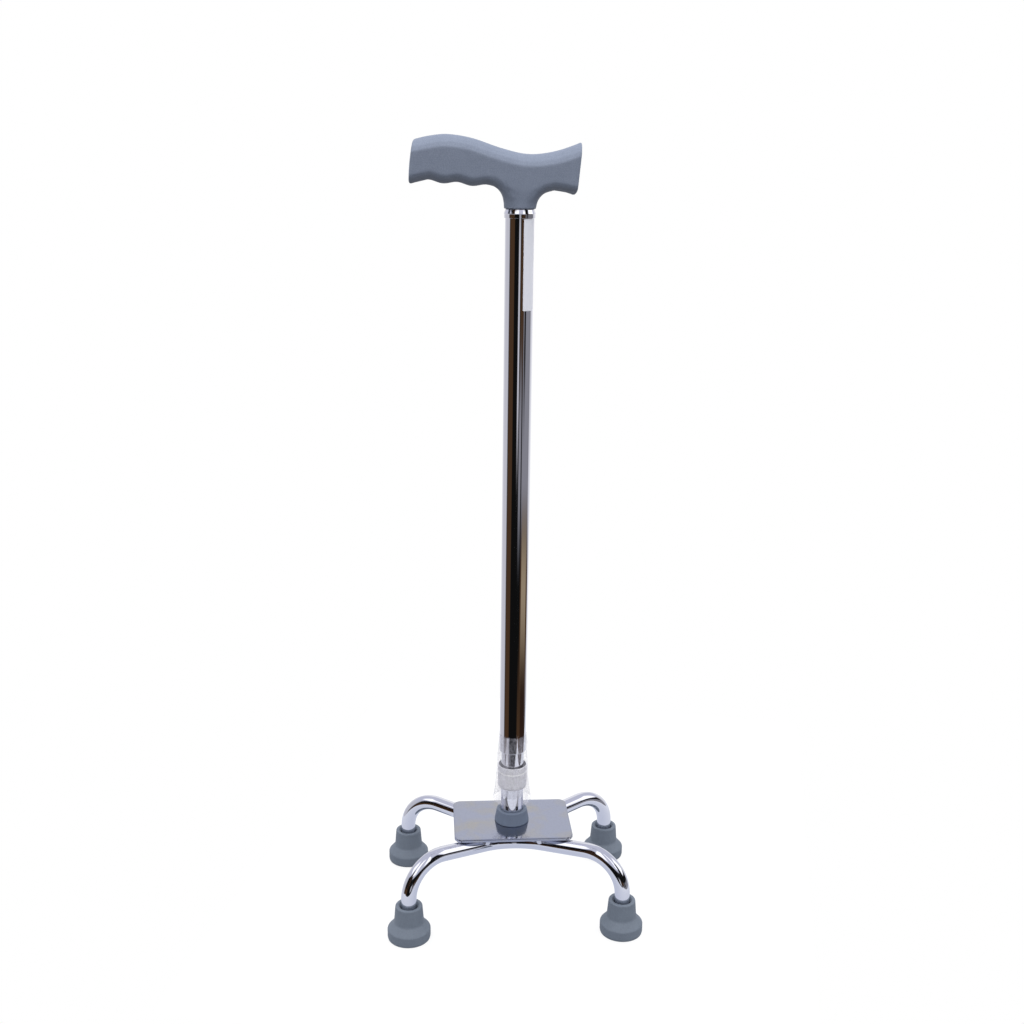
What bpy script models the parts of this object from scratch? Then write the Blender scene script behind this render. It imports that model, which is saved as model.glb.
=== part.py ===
"""Quad cane: a chromed telescopic shaft with a moulded grip, standing on a plate with two bent
leg tubes and four rubber feet. Metres, +Z up, origin on the floor under the shaft.
The grip's nose points to -X, the height holes and the snap button face the rear, +Y."""

import math

import bpy
import bmesh
from mathutils import Vector

# Clearances
GAP = 0.0003            # between pieces that touch on the real cane
RUN = 0.0004            # sliding clearance between the two shaft tubes

# Plate and leg tubes
PLATE_LENGTH = 0.0986
PLATE_WIDTH = 0.0676
PLATE_THICK = 0.0028
PLATE_CORNER_R = 0.0070
PLATE_EDGE_R = 0.0007
PLATE_TOP_Z = 0.0704
LEG_TUBE_R = 0.00625
LEG_TUBE_WALL = 0.0010
FOOT_Y = 0.0613
LEG_BEND_R = 0.0298
CROWN_R = 0.0410        # bend in the middle of each leg tube
FRONT_FOOT_X = 0.0871
FRONT_KNEE_Y = 0.0019   # where the two arms would meet without their bend, ahead of the shaft
FRONT_RISE = 0.168      # height that an arm gains for each unit of its length along X
FRONT_TOUCH_X = 0.0457  # where an arm touches the plate's corner
REAR_FOOT_X = 0.0889
REAR_KNEE_Y = 0.0034
REAR_RISE = 0.087
REAR_TOUCH_X = 0.0449
WELD_X = 0.0250
WELD_LENGTH = 0.0070
WELD_REACH = 0.0078     # how far a bead runs out under the plate from the tube's crown line
WELD_WRAP = 75.0        # degrees of the tube's round that it covers

# Rubber feet
FOOT_BASE_R = 0.0178
FOOT_SKIRT_Z = 0.0090
FOOT_FLARE_Z = 0.0165
FOOT_NECK_R = 0.0118
FOOT_RIM_R = 0.0109
FOOT_HEIGHT = 0.0290
FOOT_FLOOR = 0.0060
FOOT_WASHER_THICK = 0.0015
TREAD_DEPTH = 0.0012
TREAD_GROOVES = ((0.0065, 0.0085), (0.0108, 0.0128))

# Shaft tubes and height setting
UPPER_TUBE_R = 0.0110
TUBE_WALL = 0.0012
UPPER_TUBE_END_Z = 0.1353
LOWEST_HOLE_UP = 0.0200  # first height hole above the upper tube's end
HOLE_PITCH = 0.01905
HOLE_STEPS = 12
BUTTON_R = 0.0030
BUTTON_PROUD = 0.0022
BUTTON_FLANGE_R = 0.0040
BUTTON_FLANGE_THICK = 0.0007
SPRING_THICK = 0.0006
SPRING_WIDTH = 0.0060
SPRING_LENGTH = 0.0400
SPRING_BEND_R = 0.0024
LOWER_TUBE_SPARE = 0.0220  # tube above the button
GUIDE_FLANGE_HEIGHT = 0.0028
GUIDE_DEPTH = 0.0120

# Bush and bolt at the foot of the shaft
BUSH_BOTTOM_R = 0.0145
BUSH_TOP_R = 0.0126
BUSH_HEIGHT = 0.0106
BUSH_MOUTH_R = 0.0108
BOLT_R = 0.0029
BOLT_HEAD_FLATS = 0.0100
BOLT_HEAD_HEIGHT = 0.0040
BOLT_LENGTH = 0.0200
WASHER_R = 0.0080
WASHER_THICK = 0.0016
ANCHOR_LENGTH = 0.0250

# Lock collar, its grip ring and the clear sleeve round them
COLLAR_R = 0.0121
COLLAR_Z = 0.1017
COLLAR_HEIGHT = 0.0206
COLLAR_BOTTOM_R = 0.0024
COLLAR_CUP_DEPTH = 0.0120
COLLAR_LIP_HEIGHT = 0.0054
COLLAR_GROOVE = 0.0005
COLLAR_RIBS = 18
COLLAR_RIB_DEPTH = 0.0002
RING_Z_IN_COLLAR = 0.0024
RING_HEIGHT = 0.0026
RING_THICK = 0.0009
SLEEVE_THICK = 0.0003
SLEEVE_TOP_Z = 0.1501
SLEEVE_FLARE_Z = 0.1040
SLEEVE_BOTTOM_Z = 0.0900
SLEEVE_FLARE = 0.0038

# Grip, ferrule and label
GRIP_BASE_Z = 0.5770
GRIP_HALF_WIDTH = 0.0130
STEM_R = 0.0120
FERRULE_R = 0.0121
FERRULE_HEIGHT = 0.0064
FERRULE_ROUND = 0.0006
SPIGOT_LENGTH = 0.0380
NOSE_LOW = (-0.0830, 0.0172)     # x, and z above the grip's base
NOSE_TOP = (-0.0796, 0.0492)
NOSE_CORNERS = (0.0020, 0.0020)  # height that the corner takes, bottom and top
HEEL_LOW = (0.0418, 0.0104)
HEEL_TOP = (0.0453, 0.0484)
HEEL_CORNERS = (0.0030, 0.0014)
CORNER_EASE = 0.6                # width that a corner takes, as a share of its height
GRIP_BACK = ((-0.0670, 0.0518), (-0.0540, 0.0530), (-0.0360, 0.0504), (-0.0140, 0.0435),
             (0.0060, 0.0396), (0.0260, 0.0420))
END_REACH = 0.0080               # how far from an end the side view bends with it
TOP_EDGE = (0.0086, 0.0100, 1.30)   # height and width that the edge takes off, and its fullness
UNDER_EDGE = (0.0056, 0.0066, 1.35)
END_EDGE = (0.0014, 0.0014, 2.0)
STEM_BLEND = 0.0160              # height over which the round stem becomes the flat-sided grip
ROWS_FROM_UNDER = (0.0, 0.0005, 0.0016, 0.0034, 0.0058, 0.0092)   # depths of the rows of points
ROWS_FROM_TOP = (0.0090, 0.0055, 0.0026, 0.0008, 0.0)             # in its skin
GROOVE_PITCH = 0.0215
GROOVE_DEPTH = 0.0021
GROOVE_COUNT = 3                 # crests
GROOVE_END = (-0.0256, 0.0174)   # the crest next to the stem
GROOVE_RISE = 0.0745
SCREW_R = 0.0016
SCREW_HEAD_R = 0.0032
SCREW_HEAD_HEIGHT = 0.0015
SCREW_DOWN = 0.0190      # screw below the grip's base
SCREW_LENGTH = 0.0090
LABEL_LENGTH = 0.0682
LABEL_THICK = 0.0002
LABEL_FROM = 13.0        # degrees round from the front, towards +X
LABEL_TO = 69.0

ROUND = 26               # facets round the shaft pieces
LEG_SIDES = 12           # facets round a leg tube
LEG_STEP = 15.0          # degrees that one step takes in a bend
FOOT_SIDES = 18
HOLE_SIDES = 12
TURN = 360.0

# Worked out from the sizes above
UPPER_BORE_R = UPPER_TUBE_R - TUBE_WALL
LOWER_TUBE_R = UPPER_BORE_R - RUN
LOWER_BORE_R = LOWER_TUBE_R - TUBE_WALL
SEAT_Z = PLATE_TOP_Z + GAP
PLATE_UNDER_Z = PLATE_TOP_Z - PLATE_THICK
BUTTON_Z = UPPER_TUBE_END_Z + LOWEST_HOLE_UP + HOLE_PITCH * HOLE_STEPS
LOWER_TUBE_TOP_Z = BUTTON_Z + LOWER_TUBE_SPARE
LEG_END_Z = FOOT_FLOOR + FOOT_WASHER_THICK + 2 * GAP


def material(name, rgb, roughness, metallic=0.0, alpha=1.0):
    mat = bpy.data.materials.new(name)
    mat.use_nodes = True
    shader = mat.node_tree.nodes["Principled BSDF"]
    shader.inputs["Base Color"].default_value = (*rgb, 1.0)
    shader.inputs["Roughness"].default_value = roughness
    shader.inputs["Metallic"].default_value = metallic
    shader.inputs["Alpha"].default_value = alpha
    return mat


def add_object(name, bm, finish):
    """Turn a bmesh into a named object whose faces point outwards."""
    bmesh.ops.recalc_face_normals(bm, faces=bm.faces)
    mesh = bpy.data.meshes.new(name)
    bm.to_mesh(mesh)
    bm.free()
    mesh.shade_smooth()
    mesh.set_sharp_from_angle(angle=math.radians(35))
    obj = bpy.data.objects.new(name, mesh)
    bpy.context.collection.objects.link(obj)
    mesh.materials.append(material(name, *finish))
    return obj


def cutter(name, bm):
    obj = add_object(name, bm, STEEL)
    obj.hide_render = True
    obj.display_type = "WIRE"
    return obj


def boolean(obj, other, operation):
    mod = obj.modifiers.new(operation.title(), "BOOLEAN")
    mod.operation = operation
    mod.solver = "EXACT"
    mod.object = other


def turned_mesh(profile, segments=ROUND, centre=(0.0, 0.0)):
    """Spin an (r, z) profile round a vertical axis. One that starts and ends on the axis is solid."""
    bm = bmesh.new()
    verts = [bm.verts.new((r, 0.0, z)) for r, z in profile]
    edges = [bm.edges.new(pair) for pair in zip(verts, verts[1:])]
    if profile[0][0] > 0.0 or profile[-1][0] > 0.0:
        edges.append(bm.edges.new((verts[-1], verts[0])))
    bmesh.ops.spin(
        bm, geom=verts + edges, cent=(0, 0, 0), axis=(0, 0, 1), dvec=(0, 0, 0),
        angle=math.tau, steps=segments, use_merge=True, use_duplicate=False,
    )
    bmesh.ops.remove_doubles(bm, verts=bm.verts, dist=1e-7)
    bmesh.ops.translate(bm, verts=bm.verts, vec=(centre[0], centre[1], 0.0))
    return bm


def turned(name, profile, finish, segments=ROUND, centre=(0.0, 0.0)):
    return add_object(name, turned_mesh(profile, segments, centre), finish)


def ring_profile(inner, outer, bottom, top, ease=0.0):
    """A tube wall in (r, z), with its four edges eased by a small chamfer."""
    if not ease:
        return [(inner, bottom), (outer, bottom), (outer, top), (inner, top)]
    return [
        (inner, bottom + ease), (inner + ease, bottom), (outer - ease, bottom), (outer, bottom + ease),
        (outer, top - ease), (outer - ease, top), (inner + ease, top), (inner, top - ease),
    ]


def arc(centre, radius, start, end, steps):
    """Points on an arc, in degrees, as pairs."""
    points = []
    for i in range(steps + 1):
        a = math.radians(start + (end - start) * i / steps)
        points.append((centre[0] + radius * math.cos(a), centre[1] + radius * math.sin(a)))
    return points


def prism(outline, frame, depth_from, depth_to):
    """Extrude a closed outline of pairs. frame turns (u, v, depth) into a place."""
    bm = bmesh.new()
    near = [bm.verts.new(frame(u, v, depth_from)) for u, v in outline]
    far = [bm.verts.new(frame(u, v, depth_to)) for u, v in outline]
    bm.faces.new(near)
    bm.faces.new(list(reversed(far)))
    for i in range(len(outline)):
        j = (i + 1) % len(outline)
        bm.faces.new((near[i], far[i], far[j], near[j]))
    return bm


def upright(u, v, depth):
    return (u, v, depth)


def sideways(u, v, depth):
    return (depth, u, v)


def cylinder_y(radius, start, end, z, segments=HOLE_SIDES):
    """A round bar along Y, as an outline pushed from start to end."""
    outline = arc((0.0, z), radius, 0.0, TURN, segments)[:-1]
    return prism(outline, lambda u, v, depth: (u, depth, v), start, end)


CHROME = ((0.80, 0.80, 0.83), 0.08, 1.0)
SATIN_CHROME = ((0.62, 0.63, 0.67), 0.32, 1.0)
STEEL = ((0.55, 0.55, 0.57), 0.35, 1.0)
WELD = ((0.60, 0.61, 0.65), 0.30, 1.0)
GREY_PLASTIC = ((0.17, 0.20, 0.25), 0.55)
GREY_RUBBER = ((0.13, 0.155, 0.18), 0.75)
BLACK_RUBBER = ((0.02, 0.02, 0.02), 0.60)
NYLON = ((0.55, 0.55, 0.58), 0.40)
PAPER = ((0.70, 0.71, 0.83), 0.60)
CLEAR_FILM = ((0.85, 0.85, 0.92), 0.15, 0.0, 0.25)


# Leg tubes

def fillet_path(corners, radii):
    """A run of straight stretches whose corners are rounded by arcs."""
    path = [corners[0]]
    for before, corner, after, radius in zip(corners, corners[1:], corners[2:], radii):
        a = (before - corner).normalized()
        b = (after - corner).normalized()
        half = a.angle(b) / 2
        centre = corner + (a + b).normalized() * radius / math.sin(half)
        reach = radius / math.tan(half)
        start = corner + a * reach - centre
        across = (corner + b * reach - centre)
        normal = start.cross(across).normalized()
        sweep = math.pi - 2 * half
        steps = math.ceil(math.degrees(sweep) / LEG_STEP)
        for i in range(steps + 1):
            turn = sweep * i / steps
            path.append(centre + start * math.cos(turn) + normal.cross(start) * math.sin(turn))
    path.append(corners[-1])
    return path


def arm_height(rise, touch_x, x):
    """Height of an arm's centre line: it rises outwards and touches the plate's underside at touch_x."""
    return PLATE_UNDER_Z - GAP - LEG_TUBE_R + rise * (abs(x) - touch_x)


def leg_corners(side, foot_x, knee_y, rise, touch_x):
    """Foot, shoulder, knee, shoulder and foot of one bent tube. side is -1 in front, +1 behind."""
    shoulder_z = arm_height(rise, touch_x, foot_x)
    knee = Vector((0.0, side * knee_y, arm_height(rise, touch_x, 0.0)))
    right = [Vector((foot_x, side * FOOT_Y, shoulder_z)), Vector((foot_x, side * FOOT_Y, LEG_END_Z))]
    left = [Vector((-p.x, p.y, p.z)) for p in reversed(right)]
    return left + [knee] + right


def section_frames(path):
    """A pair of unit vectors across the path at each point, carried along without twist."""
    tangents = []
    for i in range(len(path)):
        tangents.append((path[min(i + 1, len(path) - 1)] - path[max(i - 1, 0)]).normalized())
    across = tangents[0].orthogonal().normalized()
    frames = []
    for tangent in tangents:
        across = (across - tangent * across.dot(tangent)).normalized()
        frames.append((across, tangent.cross(across)))
    return frames


def tube_along(path, outer, inner):
    """A hollow tube along a path, open at both ends."""
    bm = bmesh.new()
    frames = section_frames(path)
    walls = []
    for radius in (outer, inner):
        spots = arc((0.0, 0.0), radius, 0.0, TURN, LEG_SIDES)[:-1]
        rings = []
        for point, (u, v) in zip(path, frames):
            rings.append([bm.verts.new(point + u * a + v * b) for a, b in spots])
        skin(bm, rings)
        walls.append(rings)
    for end in (0, -1):
        skin(bm, [walls[0][end], walls[1][end]])
    return bm


def point_at_x(path, x):
    """The path's point and direction where it passes x."""
    for a, b in zip(path, path[1:]):
        if a.x <= x <= b.x:
            return a.lerp(b, (x - a.x) / (b.x - a.x)), (b - a).normalized()
    raise ValueError("the path does not reach x")


def weld_outline(rise, full):
    """Section across a weld bead, as pairs measured from the tube's centre: out, up.
    rise is the plate's underside above the centre, full the bead's share of its full size."""
    clear = LEG_TUBE_R + GAP
    if rise < clear:
        near = math.sqrt(clear ** 2 - rise ** 2)
    else:
        near = GAP
    start = math.degrees(math.atan2(min(rise, clear), near)) - 2.0
    outline = [(near + GAP, rise)] + arc((0.0, 0.0), clear, start, start - WELD_WRAP * full, 4)
    toe = Vector(outline[-1])
    edge = Vector((near + WELD_REACH * full, rise))
    swell = (toe - edge).orthogonal().normalized() * WELD_REACH * 0.12
    return outline + [tuple((toe + edge) / 2 + swell), tuple(edge)]


def weld_bead(name, path, x, side):
    """One short fillet of weld in the corner between a leg tube and the plate's underside."""
    bm = bmesh.new()
    spot, along = point_at_x(path, x)
    out = Vector((along.y, -along.x, 0.0)).normalized()
    if out.y * side < 0:
        out.negate()
    rings = []
    for place, full in ((-1.0, 0.45), (-0.7, 0.85), (0.0, 1.0), (0.7, 0.85), (1.0, 0.45)):
        centre = spot + along * (place * WELD_LENGTH / 2)
        outline = weld_outline(PLATE_UNDER_Z - GAP - centre.z, full)
        rings.append([bm.verts.new(centre + out * u + Vector((0, 0, v))) for u, v in outline])
    skin(bm, rings)
    bm.faces.new(rings[0])
    bm.faces.new(list(reversed(rings[-1])))
    add_object(name, bm, WELD)


def skin(bm, rings):
    """Faces between neighbouring closed rings of the same number of points."""
    for near, far in zip(rings, rings[1:]):
        for i in range(len(near)):
            j = (i + 1) % len(near)
            bm.faces.new((near[i], near[j], far[j], far[i]))


def leg_set(side, label, foot_x, knee_y, rise, touch_x):
    path = fillet_path(leg_corners(side, foot_x, knee_y, rise, touch_x), (LEG_BEND_R, CROWN_R, LEG_BEND_R))
    add_object(label + "_leg_tube", tube_along(path, LEG_TUBE_R, LEG_TUBE_R - LEG_TUBE_WALL), CHROME)
    for hand, sign in (("left", -1), ("right", 1)):
        weld_bead(label + "_" + hand + "_weld", path, sign * WELD_X, side)
        rubber_foot(label + "_" + hand, (sign * foot_x, side * FOOT_Y))


# Feet

def foot_profile():
    """A pedestal ferrule in section: treaded base, flared skirt, neck and an eased mouth."""
    bore = LEG_TUBE_R + GAP
    profile = [(0.0, 0.0)]
    for inner, outer in TREAD_GROOVES:
        profile += [(inner, 0.0), (inner, TREAD_DEPTH), (outer, TREAD_DEPTH), (outer, 0.0)]
    profile += arc((FOOT_BASE_R - 0.0020, 0.0020), 0.0020, -90.0, 0.0, 2)
    profile += [(FOOT_BASE_R, FOOT_SKIRT_Z - 0.0015), (FOOT_BASE_R - 0.0006, FOOT_SKIRT_Z)]
    profile += [(FOOT_NECK_R + 0.0008, FOOT_FLARE_Z - 0.0008), (FOOT_NECK_R, FOOT_FLARE_Z + 0.0004)]
    profile += [(FOOT_RIM_R, FOOT_HEIGHT - 0.0010), (FOOT_RIM_R - 0.0010, FOOT_HEIGHT)]
    profile += [(bore + 0.0013, FOOT_HEIGHT), (bore, FOOT_HEIGHT - 0.0022)]
    profile += [(bore, FOOT_FLOOR), (0.0, FOOT_FLOOR)]
    return profile


def rubber_foot(label, centre):
    turned(label + "_foot", foot_profile(), GREY_RUBBER, FOOT_SIDES, centre)
    bottom = FOOT_FLOOR + GAP
    top = bottom + FOOT_WASHER_THICK
    disc = [(0.0, bottom), (LEG_TUBE_R, bottom), (LEG_TUBE_R, top), (0.0, top)]
    turned(label + "_foot_washer", disc, STEEL, 16, centre)


# Plate and the shaft's fixing

def base_plate():
    half = (PLATE_LENGTH / 2 - PLATE_CORNER_R, PLATE_WIDTH / 2 - PLATE_CORNER_R)
    outline = []
    for quarter, (sx, sy) in enumerate(((1, 1), (-1, 1), (-1, -1), (1, -1))):
        centre = (sx * half[0], sy * half[1])
        outline += arc(centre, PLATE_CORNER_R, 90.0 * quarter, 90.0 * (quarter + 1), 6)
    bm = prism(outline, upright, PLATE_UNDER_Z, PLATE_TOP_Z)
    rim = [e for e in bm.edges if e.verts[0].co.z == e.verts[1].co.z]
    bmesh.ops.bevel(bm, geom=rim, offset=PLATE_EDGE_R, segments=1, affect="EDGES", profile=0.5)
    plate = add_object("base_plate", bm, SATIN_CHROME)
    hole = arc((0.0, 0.0), BOLT_R + GAP, 0.0, TURN, 24)[:-1]
    hole_body = prism(hole, upright, PLATE_UNDER_Z - 0.002, PLATE_TOP_Z + 0.002)
    boolean(plate, cutter("plate_hole_cut", hole_body), "DIFFERENCE")


def shaft_fixing():
    """Hex bolt and washer under the plate, screwed into an anchor fixed in the lower tube."""
    washer_top = PLATE_UNDER_Z - GAP
    washer_bottom = washer_top - WASHER_THICK
    turned("base_washer", ring_profile(BOLT_R + GAP, WASHER_R, washer_bottom, washer_top), STEEL, 24)
    head_top = washer_bottom - GAP
    bolt_top = head_top + BOLT_LENGTH
    corner_r = BOLT_HEAD_FLATS / 2 / math.cos(math.radians(30))
    hexagon = arc((0.0, 0.0), corner_r, 0.0, TURN, 6)[:-1]
    bolt = add_object("base_bolt", prism(hexagon, upright, head_top - BOLT_HEAD_HEIGHT, head_top), STEEL)
    shank = [(0.0, head_top - BOLT_HEAD_HEIGHT / 2), (BOLT_R, head_top - BOLT_HEAD_HEIGHT / 2),
             (BOLT_R, bolt_top - 0.0008), (BOLT_R - 0.0008, bolt_top), (0.0, bolt_top)]
    boolean(bolt, cutter("bolt_shank", turned_mesh(shank, 24)), "UNION")
    anchor_r = LOWER_BORE_R - GAP
    turned("shaft_anchor", ring_profile(BOLT_R + GAP, anchor_r, SEAT_Z, SEAT_Z + ANCHOR_LENGTH), STEEL, 24)


def base_bush():
    bore = LOWER_TUBE_R + GAP
    top = SEAT_Z + BUSH_HEIGHT
    profile = [(bore, SEAT_Z), (BUSH_BOTTOM_R - 0.0004, SEAT_Z), (BUSH_BOTTOM_R, SEAT_Z + 0.0006)]
    profile += arc((BUSH_TOP_R - 0.0011, top - 0.0011), 0.0011, 8.0, 90.0, 2)
    profile += [(BUSH_MOUTH_R, top), (bore, top - 0.0020)]
    turned("base_bush", profile, GREY_PLASTIC)


# Shaft

def lower_tube():
    profile = ring_profile(LOWER_BORE_R, LOWER_TUBE_R, SEAT_Z, LOWER_TUBE_TOP_Z)
    tube = turned("lower_tube", profile, CHROME)
    hole = cylinder_y(BUTTON_R + GAP, LOWER_BORE_R / 2, LOWER_TUBE_R + 0.002, BUTTON_Z)
    boolean(tube, cutter("button_hole_cut", hole), "DIFFERENCE")
    base = LOWER_TUBE_TOP_Z + GAP
    top = base + GUIDE_FLANGE_HEIGHT
    stem_r = LOWER_BORE_R - GAP
    plug = [(0.0, base - GUIDE_DEPTH), (stem_r - 0.0008, base - GUIDE_DEPTH),
            (stem_r, base - GUIDE_DEPTH + 0.0008), (stem_r, base), (LOWER_TUBE_R, base),
            (LOWER_TUBE_R, top - 0.0010), (LOWER_TUBE_R - 0.0010, top), (0.0, top)]
    turned("guide_plug", plug, NYLON, 24)


def upper_tube():
    top = GRIP_BASE_Z - GAP
    profile = ring_profile(UPPER_BORE_R, UPPER_TUBE_R, UPPER_TUBE_END_Z, top, 0.0003)
    tube = turned("upper_tube", profile, CHROME)
    cuts = bmesh.new()
    for step in range(HOLE_STEPS + 1):
        height = BUTTON_Z - step * HOLE_PITCH
        hole = cylinder_y(BUTTON_R + GAP, UPPER_BORE_R / 2, UPPER_TUBE_R + 0.002, height)
        join(cuts, hole)
    screw_hole = cylinder_y(SCREW_R + GAP, UPPER_BORE_R / 2, UPPER_TUBE_R + 0.002, GRIP_BASE_Z - SCREW_DOWN)
    join(cuts, screw_hole)
    boolean(tube, cutter("height_holes_cut", cuts), "DIFFERENCE")


def join(target, extra):
    """Add one bmesh's faces to another and free it."""
    copies = {v: target.verts.new(v.co) for v in extra.verts}
    for face in extra.faces:
        target.faces.new([copies[v] for v in face.verts])
    extra.free()


def snap_button():
    """A flanged pin with a domed end, pushed out by a bent strip of spring steel."""
    tip = UPPER_TUBE_R + BUTTON_PROUD
    reach = math.sqrt(LOWER_BORE_R ** 2 - BUTTON_FLANGE_R ** 2) - GAP
    flange = reach - BUTTON_FLANGE_THICK
    dome = 0.0012
    profile = [(0.0, flange), (BUTTON_FLANGE_R, flange), (BUTTON_FLANGE_R, reach), (BUTTON_R, reach),
               (BUTTON_R, tip - dome), (BUTTON_R * 0.85, tip - dome * 0.45),
               (BUTTON_R * 0.5, tip - dome * 0.1), (0.0, tip)]
    bm = turned_mesh(profile, 20)
    for vert in bm.verts:
        vert.co = Vector((vert.co.x, vert.co.z, BUTTON_Z - vert.co.y))
    add_object("snap_button", bm, STEEL)
    leg_y = flange - GAP - SPRING_THICK / 2
    low = BUTTON_Z - SPRING_LENGTH
    back_y = -(LOWER_BORE_R - GAP - SPRING_THICK) + 0.0012
    centre_line = [(leg_y, BUTTON_Z + 0.0045), (leg_y, BUTTON_Z - 0.0055)]
    centre_line += arc((0.0, low + SPRING_BEND_R), SPRING_BEND_R, 0.0, -180.0, 8)
    centre_line += [(back_y, BUTTON_Z - 0.0100), (back_y, BUTTON_Z + 0.0045)]
    outline = strip_outline(centre_line, SPRING_THICK)
    add_object("button_spring", prism(outline, sideways, -SPRING_WIDTH / 2, SPRING_WIDTH / 2), STEEL)


def strip_outline(line, thick):
    """Both sides of a thin strip that follows a line of pairs."""
    points = [Vector(p) for p in line]
    left = []
    right = []
    for i, point in enumerate(points):
        along = (points[min(i + 1, len(points) - 1)] - points[max(i - 1, 0)]).normalized()
        across = Vector((-along.y, along.x)) * thick / 2
        left.append(tuple(point + across))
        right.append(tuple(point - across))
    return left + list(reversed(right))


# Collar and sleeve

def lock_collar():
    """An open cup with a rounded foot, a lip above a groove and fine grip ribs round its band."""
    bore = LOWER_TUBE_R + GAP
    cup_r = UPPER_TUBE_R + GAP
    top = COLLAR_Z + COLLAR_HEIGHT
    floor = top - COLLAR_CUP_DEPTH
    seat_r = bore + RING_THICK + GAP
    seat = (COLLAR_Z + RING_Z_IN_COLLAR - GAP, COLLAR_Z + RING_Z_IN_COLLAR + RING_HEIGHT + GAP)
    groove_z = top - COLLAR_LIP_HEIGHT
    profile = [(bore, COLLAR_Z)]
    profile += arc((COLLAR_R - COLLAR_BOTTOM_R, COLLAR_Z + COLLAR_BOTTOM_R), COLLAR_BOTTOM_R, -90.0, 0.0, 3)
    profile += [(COLLAR_R, groove_z - COLLAR_GROOVE), (COLLAR_R - COLLAR_GROOVE, groove_z),
                (COLLAR_R, groove_z + COLLAR_GROOVE), (COLLAR_R, top - 0.0004), (COLLAR_R - 0.0003, top),
                (cup_r, top), (cup_r, floor), (bore, floor),
                (bore, seat[1]), (seat_r, seat[1]), (seat_r, seat[0]), (bore, seat[0])]
    bm = turned_mesh(profile, COLLAR_RIBS * 2)
    band = (COLLAR_Z + COLLAR_BOTTOM_R - GAP, groove_z - COLLAR_GROOVE + GAP)
    for vert in bm.verts:
        radius = math.hypot(vert.co.x, vert.co.y)
        if radius > cup_r and band[0] <= vert.co.z <= band[1]:
            rib = round(math.atan2(vert.co.y, vert.co.x) / math.tau * COLLAR_RIBS * 2)
            if rib % 2:
                vert.co.xy *= (radius - COLLAR_RIB_DEPTH) / radius
    add_object("lock_collar", bm, NYLON)
    low = COLLAR_Z + RING_Z_IN_COLLAR
    turned("collar_grip_ring", ring_profile(bore, bore + RING_THICK, low, low + RING_HEIGHT), BLACK_RUBBER)


def clear_sleeve():
    """The protective film: a straight tube round the collar that flares out over the plate."""
    inner = COLLAR_R + GAP
    steps = 3
    flare = []
    for i in range(steps + 1):
        t = i / steps
        flare.append((inner + SLEEVE_FLARE * t ** 1.4,
                      SLEEVE_FLARE_Z + (SLEEVE_BOTTOM_Z - SLEEVE_FLARE_Z) * t))
    inside = [(inner, SLEEVE_TOP_Z)] + flare
    outside = [(r + SLEEVE_THICK, z) for r, z in inside]
    turned("clear_sleeve", inside + list(reversed(outside)), CLEAR_FILM)


# Grip

def spline(points, per_span=8):
    """A Catmull-Rom curve through a few points, as many short steps."""
    knots = [Vector(p) for p in points]
    knots = [knots[0] * 2 - knots[1]] + knots + [knots[-1] * 2 - knots[-2]]
    path = []
    for a, b, c, d in zip(knots, knots[1:], knots[2:], knots[3:]):
        for i in range(per_span):
            t = i / per_span
            path.append(0.5 * ((2 * b) + (c - a) * t + (2 * a - 5 * b + 4 * c - d) * t * t
                               + (3 * b - a - 3 * c + d) * t ** 3))
    path.append(knots[-2])
    return path


def finger_grooves():
    """Waves under the grip, from the nose's side to the stem's side. Crests lie at both ends."""
    steps = 8 * (GROOVE_COUNT - 1)
    points = []
    for i in range(steps + 1):
        back = GROOVE_PITCH * (GROOVE_COUNT - 1) * (1 - i / steps)
        wave = GROOVE_DEPTH / 2 * (math.cos(math.tau * back / GROOVE_PITCH) - 1.0)
        points.append(Vector((GROOVE_END[0] - back, GROOVE_END[1] + GROOVE_RISE * back + wave)))
    return points


def corner_pull(height, low, high, low_reach, high_reach):
    """How far an end is pulled in at a height, so that its two corners are eased."""
    for gap, reach in ((height - low, low_reach), (high - height, high_reach)):
        if gap < reach:
            return CORNER_EASE * reach * (1.0 - max(gap, 0.0) / reach) ** 2
    return 0.0


def nose_x(z):
    """The nose end, a shallow curve that leans back towards the top."""
    share = (z - NOSE_LOW[1]) / (NOSE_TOP[1] - NOSE_LOW[1])
    return (NOSE_LOW[0] + (NOSE_TOP[0] - NOSE_LOW[0]) * share ** 2
            + corner_pull(z, NOSE_LOW[1], NOSE_TOP[1], *NOSE_CORNERS))


def heel_x(z):
    share = (z - HEEL_LOW[1]) / (HEEL_TOP[1] - HEEL_LOW[1])
    return (HEEL_LOW[0] + (HEEL_TOP[0] - HEEL_LOW[0]) * share
            - corner_pull(z, HEEL_LOW[1], HEEL_TOP[1], *HEEL_CORNERS))


def grip_outline():
    """The grip's side view as polylines: the top, and the underside in five stretches."""
    top = spline([NOSE_TOP] + list(GRIP_BACK) + [HEEL_TOP])
    nose = spline([NOSE_LOW, (GROOVE_END[0] - GROOVE_PITCH * (GROOVE_COUNT - 1) - 0.0066, 0.0190),
                   finger_grooves()[0]], 4)
    stem_left = spline([GROOVE_END, (-0.0190, 0.0159), (-0.0143, 0.0116), (-STEM_R - 0.0004, 0.0060),
                        (-STEM_R, 0.0)])
    stem_right = spline([(STEM_R, 0.0), (0.0134, 0.0062), (0.0176, 0.0113), (0.0250, 0.0137)])
    heel = spline([stem_right[-1], (0.0344, 0.0123), HEEL_LOW])
    base = [stem_left[-1], stem_right[0]]
    return top, [nose[:-1] + finger_grooves(), stem_left, base, stem_right, heel]


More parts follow.
